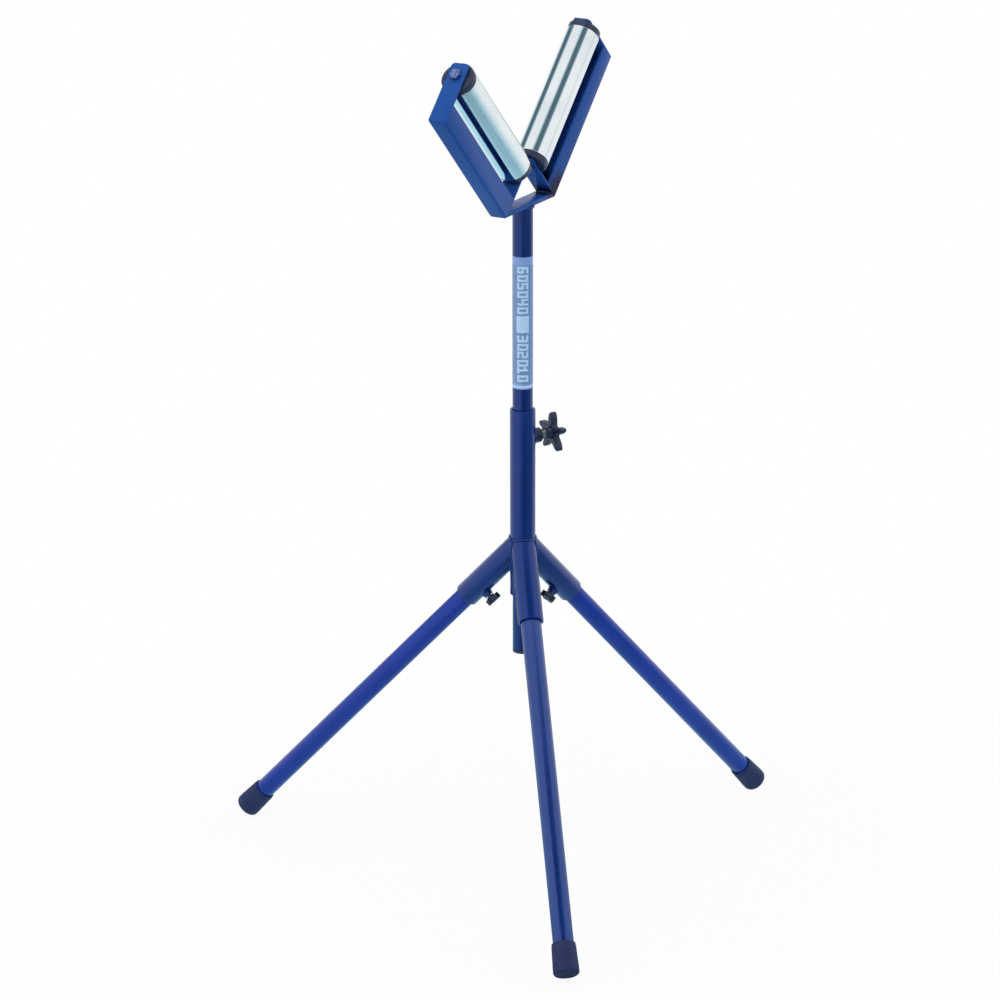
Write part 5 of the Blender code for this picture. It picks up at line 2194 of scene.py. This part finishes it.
@dataclass
class Studio:
    """A plain pale floor, soft light and a camera at the photograph's angle.

    The backdrop and the floor are white to the camera and to what shines. The room on the camera's
    side stays dark in a band, which shows in the round pieces as a dark stripe.

    Attributes:
        camera_turn: The camera's direction, turned from -X towards -Y.
        camera_reach: The camera's level distance from the column.
        camera_height: The camera's height.
        lens: Its focal length in millimetres, for a picture 36 mm wide.
        shift: How far the picture is shifted right and up, as a share of its width.
        floor_radius: The floor's radius.
        floor_near: The distance from the column where the floor starts to turn pure white.
        floor_far: The distance where it is pure white.
        floor_shine: The floor's paper as it looks to what shines.
        glow_shine: The floor's own light as it looks to what shines.
        low_shine: The room's lower part as it looks to what shines.
        dim_shine: The room's dark parts as they look to what shines.
        band_turn: How far to the camera's right the dark band stands.
        band_start: The sine of the band's half width, where it starts to fade.
        band_end: The sine of its half width at its very edge.
        band_level: The light that the band still gives.
        right_level: The light of the room to the right of the band.
        fill_level: The even light that matt surfaces receive from the room.
        lamps_height: The height of the point that the lamps hang round and shine at.
        gaps: The dark gaps between the room's panels.
        lamps: A key lamp on the left, a weak one on the right and one overhead.
    """

    camera_turn: float = math.radians(28.9)
    camera_reach: float = 5.408
    camera_height: float = 2.263
    lens: float = 155.0
    shift: tuple[float, float] = (-0.0227, 0.041)
    floor_radius: float = 0.98
    floor_near: float = 0.55
    floor_far: float = 0.92
    floor_shine: Colour = (0.40, 0.68, 0.80)
    glow_shine: Colour = (0.48, 0.80, 0.94)
    low_shine: Colour = (0.46, 0.78, 0.92)
    dim_shine: Colour = (0.50, 0.82, 1.0)
    band_turn: float = math.radians(17.0)
    band_start: float = 0.20
    band_end: float = 0.75
    band_level: float = 0.07
    right_level: float = 0.35
    fill_level: float = 0.75
    lamps_height: float = 0.6
    gaps: Sequence[Gap] = (
        Gap(ahead=0.42, right=0.34, up=0.84, core=4.0, edge=21.0, level=0.20),
        Gap(ahead=-0.52, right=-0.67, up=0.52, core=6.0, edge=26.0, level=0.20),
        Gap(ahead=0.66, right=-0.04, up=0.75, core=12.0, edge=23.0, level=0.0),
    )
    lamps: Sequence[Lamp] = (
        Lamp("lamp_left", right=-2.3, ahead=1.2, up=1.7, size=2.2, power=15.0),
        Lamp("lamp_right", right=2.6, ahead=0.6, up=1.2, size=1.6, power=4.0),
        Lamp("lamp_above", right=0.0, ahead=0.4, up=2.8, size=2.4, power=22.0),
    )

    @property
    def towards_camera(self) -> Vector:
        """The level direction from the column to the camera."""
        return Vector((-math.cos(self.camera_turn), -math.sin(self.camera_turn), 0.0))

    @property
    def to_the_right(self) -> Vector:
        """The level direction to the picture's right."""
        return Vector((math.sin(self.camera_turn), -math.cos(self.camera_turn), 0.0))

    def away(self, mark: Gap | Lamp) -> Vector:
        """The way to a gap or a lamp, from its shares towards the camera, to the right and up."""
        level = self.towards_camera * mark.ahead + self.to_the_right * mark.right
        return level + UP * mark.up

    def build(self) -> None:
        """Lay the floor, set the background, hang the lamps and place the camera."""
        self.lay_floor()
        self.set_background()
        self.hang_lamps()
        self.place_camera()
        bpy.context.scene.view_settings.view_transform = "Standard"

    def room(self, recipe: Recipe, way: Socket, reach: float) -> Socket:
        """The level of light that comes from a direction or from a place on the floor.

        Args:
            recipe: The recipe whose nodes carry it.
            way: The direction, or the place as measured from the column.
            reach: How long the direction is, or how far away the place counts as full room.

        Returns:
            1 on the backdrop's side, and less on the camera's side.
        """
        turn = self.band_turn
        ahead = self.towards_camera * math.cos(turn) + self.to_the_right * math.sin(turn)
        aside = self.to_the_right * math.cos(turn) - self.towards_camera * math.sin(turn)
        front = recipe.span(recipe.dot(way, ahead), 0.0, 1.0, -0.05 * reach, 0.45 * reach, True)
        across = recipe.dot(way, aside)
        spread = recipe.maths("ABSOLUTE", across, 0.0)
        edge = recipe.span(
            spread, self.band_level, 1.0, self.band_start * reach, self.band_end * reach, True
        )
        right = recipe.span(across, 1.0, self.right_level, 0.0, self.band_end * reach, True)
        level = recipe.maths("MULTIPLY", edge, right)
        low = recipe.span(recipe.dot(way, UP), 1.0, 0.0, -0.1, 0.16, True)
        share = recipe.maths("MULTIPLY", front, low)
        drop = recipe.maths("MULTIPLY", share, recipe.maths("SUBTRACT", level, 1.0))
        return recipe.maths("ADD", drop, 1.0)

    def shown(self, recipe: Recipe) -> Socket:
        """1 for rays from the camera, from what shines and from what is clear.

        Args:
            recipe: The recipe that takes the nodes.

        Returns:
            1 for such rays, and 0 for others.
        """
        rays = recipe.nodes.new("ShaderNodeLightPath")
        seen, shines = rays.outputs["Is Camera Ray"], rays.outputs["Is Glossy Ray"]
        first = recipe.maths("MAXIMUM", seen, shines)
        return recipe.maths("MAXIMUM", first, rays.outputs["Is Transmission Ray"])

    def matt(self, recipe: Recipe) -> Socket:
        """1 for rays from matt surfaces."""
        return recipe.span(self.shown(recipe), 1.0, 0.0, 0.0, 1.0)

    def darkened(self, recipe: Recipe, way: Socket, gap: Gap) -> Socket:
        """How much light a dark gap leaves in a direction.

        Args:
            recipe: The recipe whose nodes carry it.
            way: The direction.
            gap: The gap.

        Returns:
            1 outside the gap and its level in the core.
        """
        near = recipe.dot(way, self.away(gap).normalized())
        low, high = math.cos(math.radians(gap.edge)), math.cos(math.radians(gap.core))
        return recipe.span(near, 1.0, gap.level, low, high, True)

    def lay_floor(self) -> None:
        """A wide level disc, white but for the stand's shadow and the dark band."""
        floor = Bench.start(
            "studio_floor", bpy.ops.mesh.primitive_circle_add, vertices=128,
            radius=self.floor_radius, fill_type="NGON", location=LAYOUT.axis,
        )
        recipe = Recipe("studio_floor_paper")
        nodes, links = recipe.nodes, recipe.links
        away = nodes.new("ShaderNodeVectorMath")
        away.operation = "SUBTRACT"
        links.new(recipe.place, away.inputs[0])
        away.inputs[1].default_value = LAYOUT.axis
        level = self.room(recipe, away.outputs["Vector"], 1.0)
        rays = nodes.new("ShaderNodeLightPath")
        seen, shines = rays.outputs["Is Camera Ray"], rays.outputs["Is Glossy Ray"]
        grain = recipe.span(recipe.noise(3.0), 0.0, 1.0)
        paper = recipe.tint(grain, (0.78, 0.79, 0.80), (0.80, 0.81, 0.82))
        recipe.feed("Base Color", recipe.tint(shines, paper, self.floor_shine))
        recipe.fix(Roughness=0.8)
        distance = nodes.new("ShaderNodeVectorMath")
        distance.operation = "LENGTH"
        links.new(away.outputs["Vector"], distance.inputs[0])
        reach = distance.outputs["Value"]
        white = recipe.span(reach, 0.93, 1.0, self.floor_near, self.floor_far)
        glow = nodes.new("ShaderNodeEmission")
        links.new(recipe.maths("MAXIMUM", level, seen), glow.inputs["Strength"])
        links.new(recipe.tint(seen, self.glow_shine, WHITE), glow.inputs["Color"])
        join = nodes.new("ShaderNodeMixShader")
        links.new(recipe.maths("MULTIPLY", white, self.shown(recipe)), join.inputs[0])
        links.new(recipe.shader.outputs[0], join.inputs[1])
        links.new(glow.outputs[0], join.inputs[2])
        links.new(join.outputs[0], nodes["Material Output"].inputs["Surface"])
        floor.data.materials.append(recipe.material)

    def set_background(self) -> None:
        """A white background, with the room on the camera's side darker."""
        world = bpy.context.scene.world or bpy.data.worlds.new("studio")
        bpy.context.scene.world = world
        world.use_nodes = True
        recipe = Recipe("room", world)
        nodes, links = recipe.nodes, recipe.links
        level = self.room(recipe, recipe.way, 1.0)
        for gap in self.gaps:
            level = recipe.maths("MULTIPLY", level, self.darkened(recipe, recipe.way, gap))
        seen = nodes.new("ShaderNodeLightPath").outputs["Is Camera Ray"]
        shone = recipe.maths("MULTIPLY", level, self.shown(recipe))
        fill = recipe.maths("MULTIPLY", self.matt(recipe), self.fill_level)
        lit = recipe.maths("MAXIMUM", shone, fill)
        light = nodes.new("ShaderNodeBackground")
        steep = recipe.span(recipe.dot(recipe.way, UP), 0.0, 1.0, -0.85, -0.25)
        tone = recipe.tint(steep, self.low_shine, WHITE)
        dim = recipe.tint(recipe.span(level, 0.0, 1.0, 0.4, 1.0), self.dim_shine, tone)
        links.new(recipe.tint(seen, dim, WHITE), light.inputs["Color"])
        links.new(recipe.maths("MAXIMUM", lit, seen), light.inputs["Strength"])
        output = nodes.new("ShaderNodeOutputWorld")
        links.new(light.outputs[0], output.inputs["Surface"])

    def hang_lamps(self) -> None:
        """Hang the soft lamps, which light the stand but never show in it."""
        middle = LAYOUT.axis + UP * self.lamps_height
        for lamp in self.lamps:
            place = self.away(lamp)
            data = bpy.data.lights.new(lamp.name, "AREA")
            data.size = lamp.size
            data.energy = lamp.power
            hung = bpy.data.objects.new(lamp.name, data)
            bpy.context.scene.collection.objects.link(hung)
            hung.location = middle + place
            hung.rotation_euler = (-place).to_track_quat("-Z", "Y").to_euler()
            hung.visible_camera = hung.visible_glossy = False

    def place_camera(self) -> None:
        """The camera that was fitted to the photograph."""
        data = bpy.data.cameras.new("camera")
        data.lens = self.lens
        data.sensor_width = 36.0
        data.shift_x, data.shift_y = self.shift
        camera = bpy.data.objects.new("camera", data)
        bpy.context.scene.collection.objects.link(camera)
        aim = LAYOUT.axis + UP * LAYOUT.junction
        place = LAYOUT.axis + self.towards_camera * self.camera_reach
        camera.location = (place.x, place.y, self.camera_height)
        camera.rotation_euler = (aim - camera.location).to_track_quat("-Z", "Y").to_euler()
        data.clip_start = 0.05
        data.clip_end = 100.0
        bpy.context.scene.camera = camera


def main() -> None:
    """Build the stand's sub-assemblies from the floor up, then the studio."""
    logging.basicConfig(level=logging.INFO, format="%(name)s %(message)s")
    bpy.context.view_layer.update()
    LOG.info("tripod")
    Tripod().build()
    for leg in Leg:
        LOG.info("%s leg", leg.value)
        LegSet(leg).build()
    LOG.info("column clamp")
    column_clamp().build()
    LOG.info("post")
    Post().build()
    for side in Side:
        LOG.info("%s arm", side.value)
        RollerArm(side).build()
    LOG.info("studio")
    Studio().build()


if __name__ == "__main__":
    main()
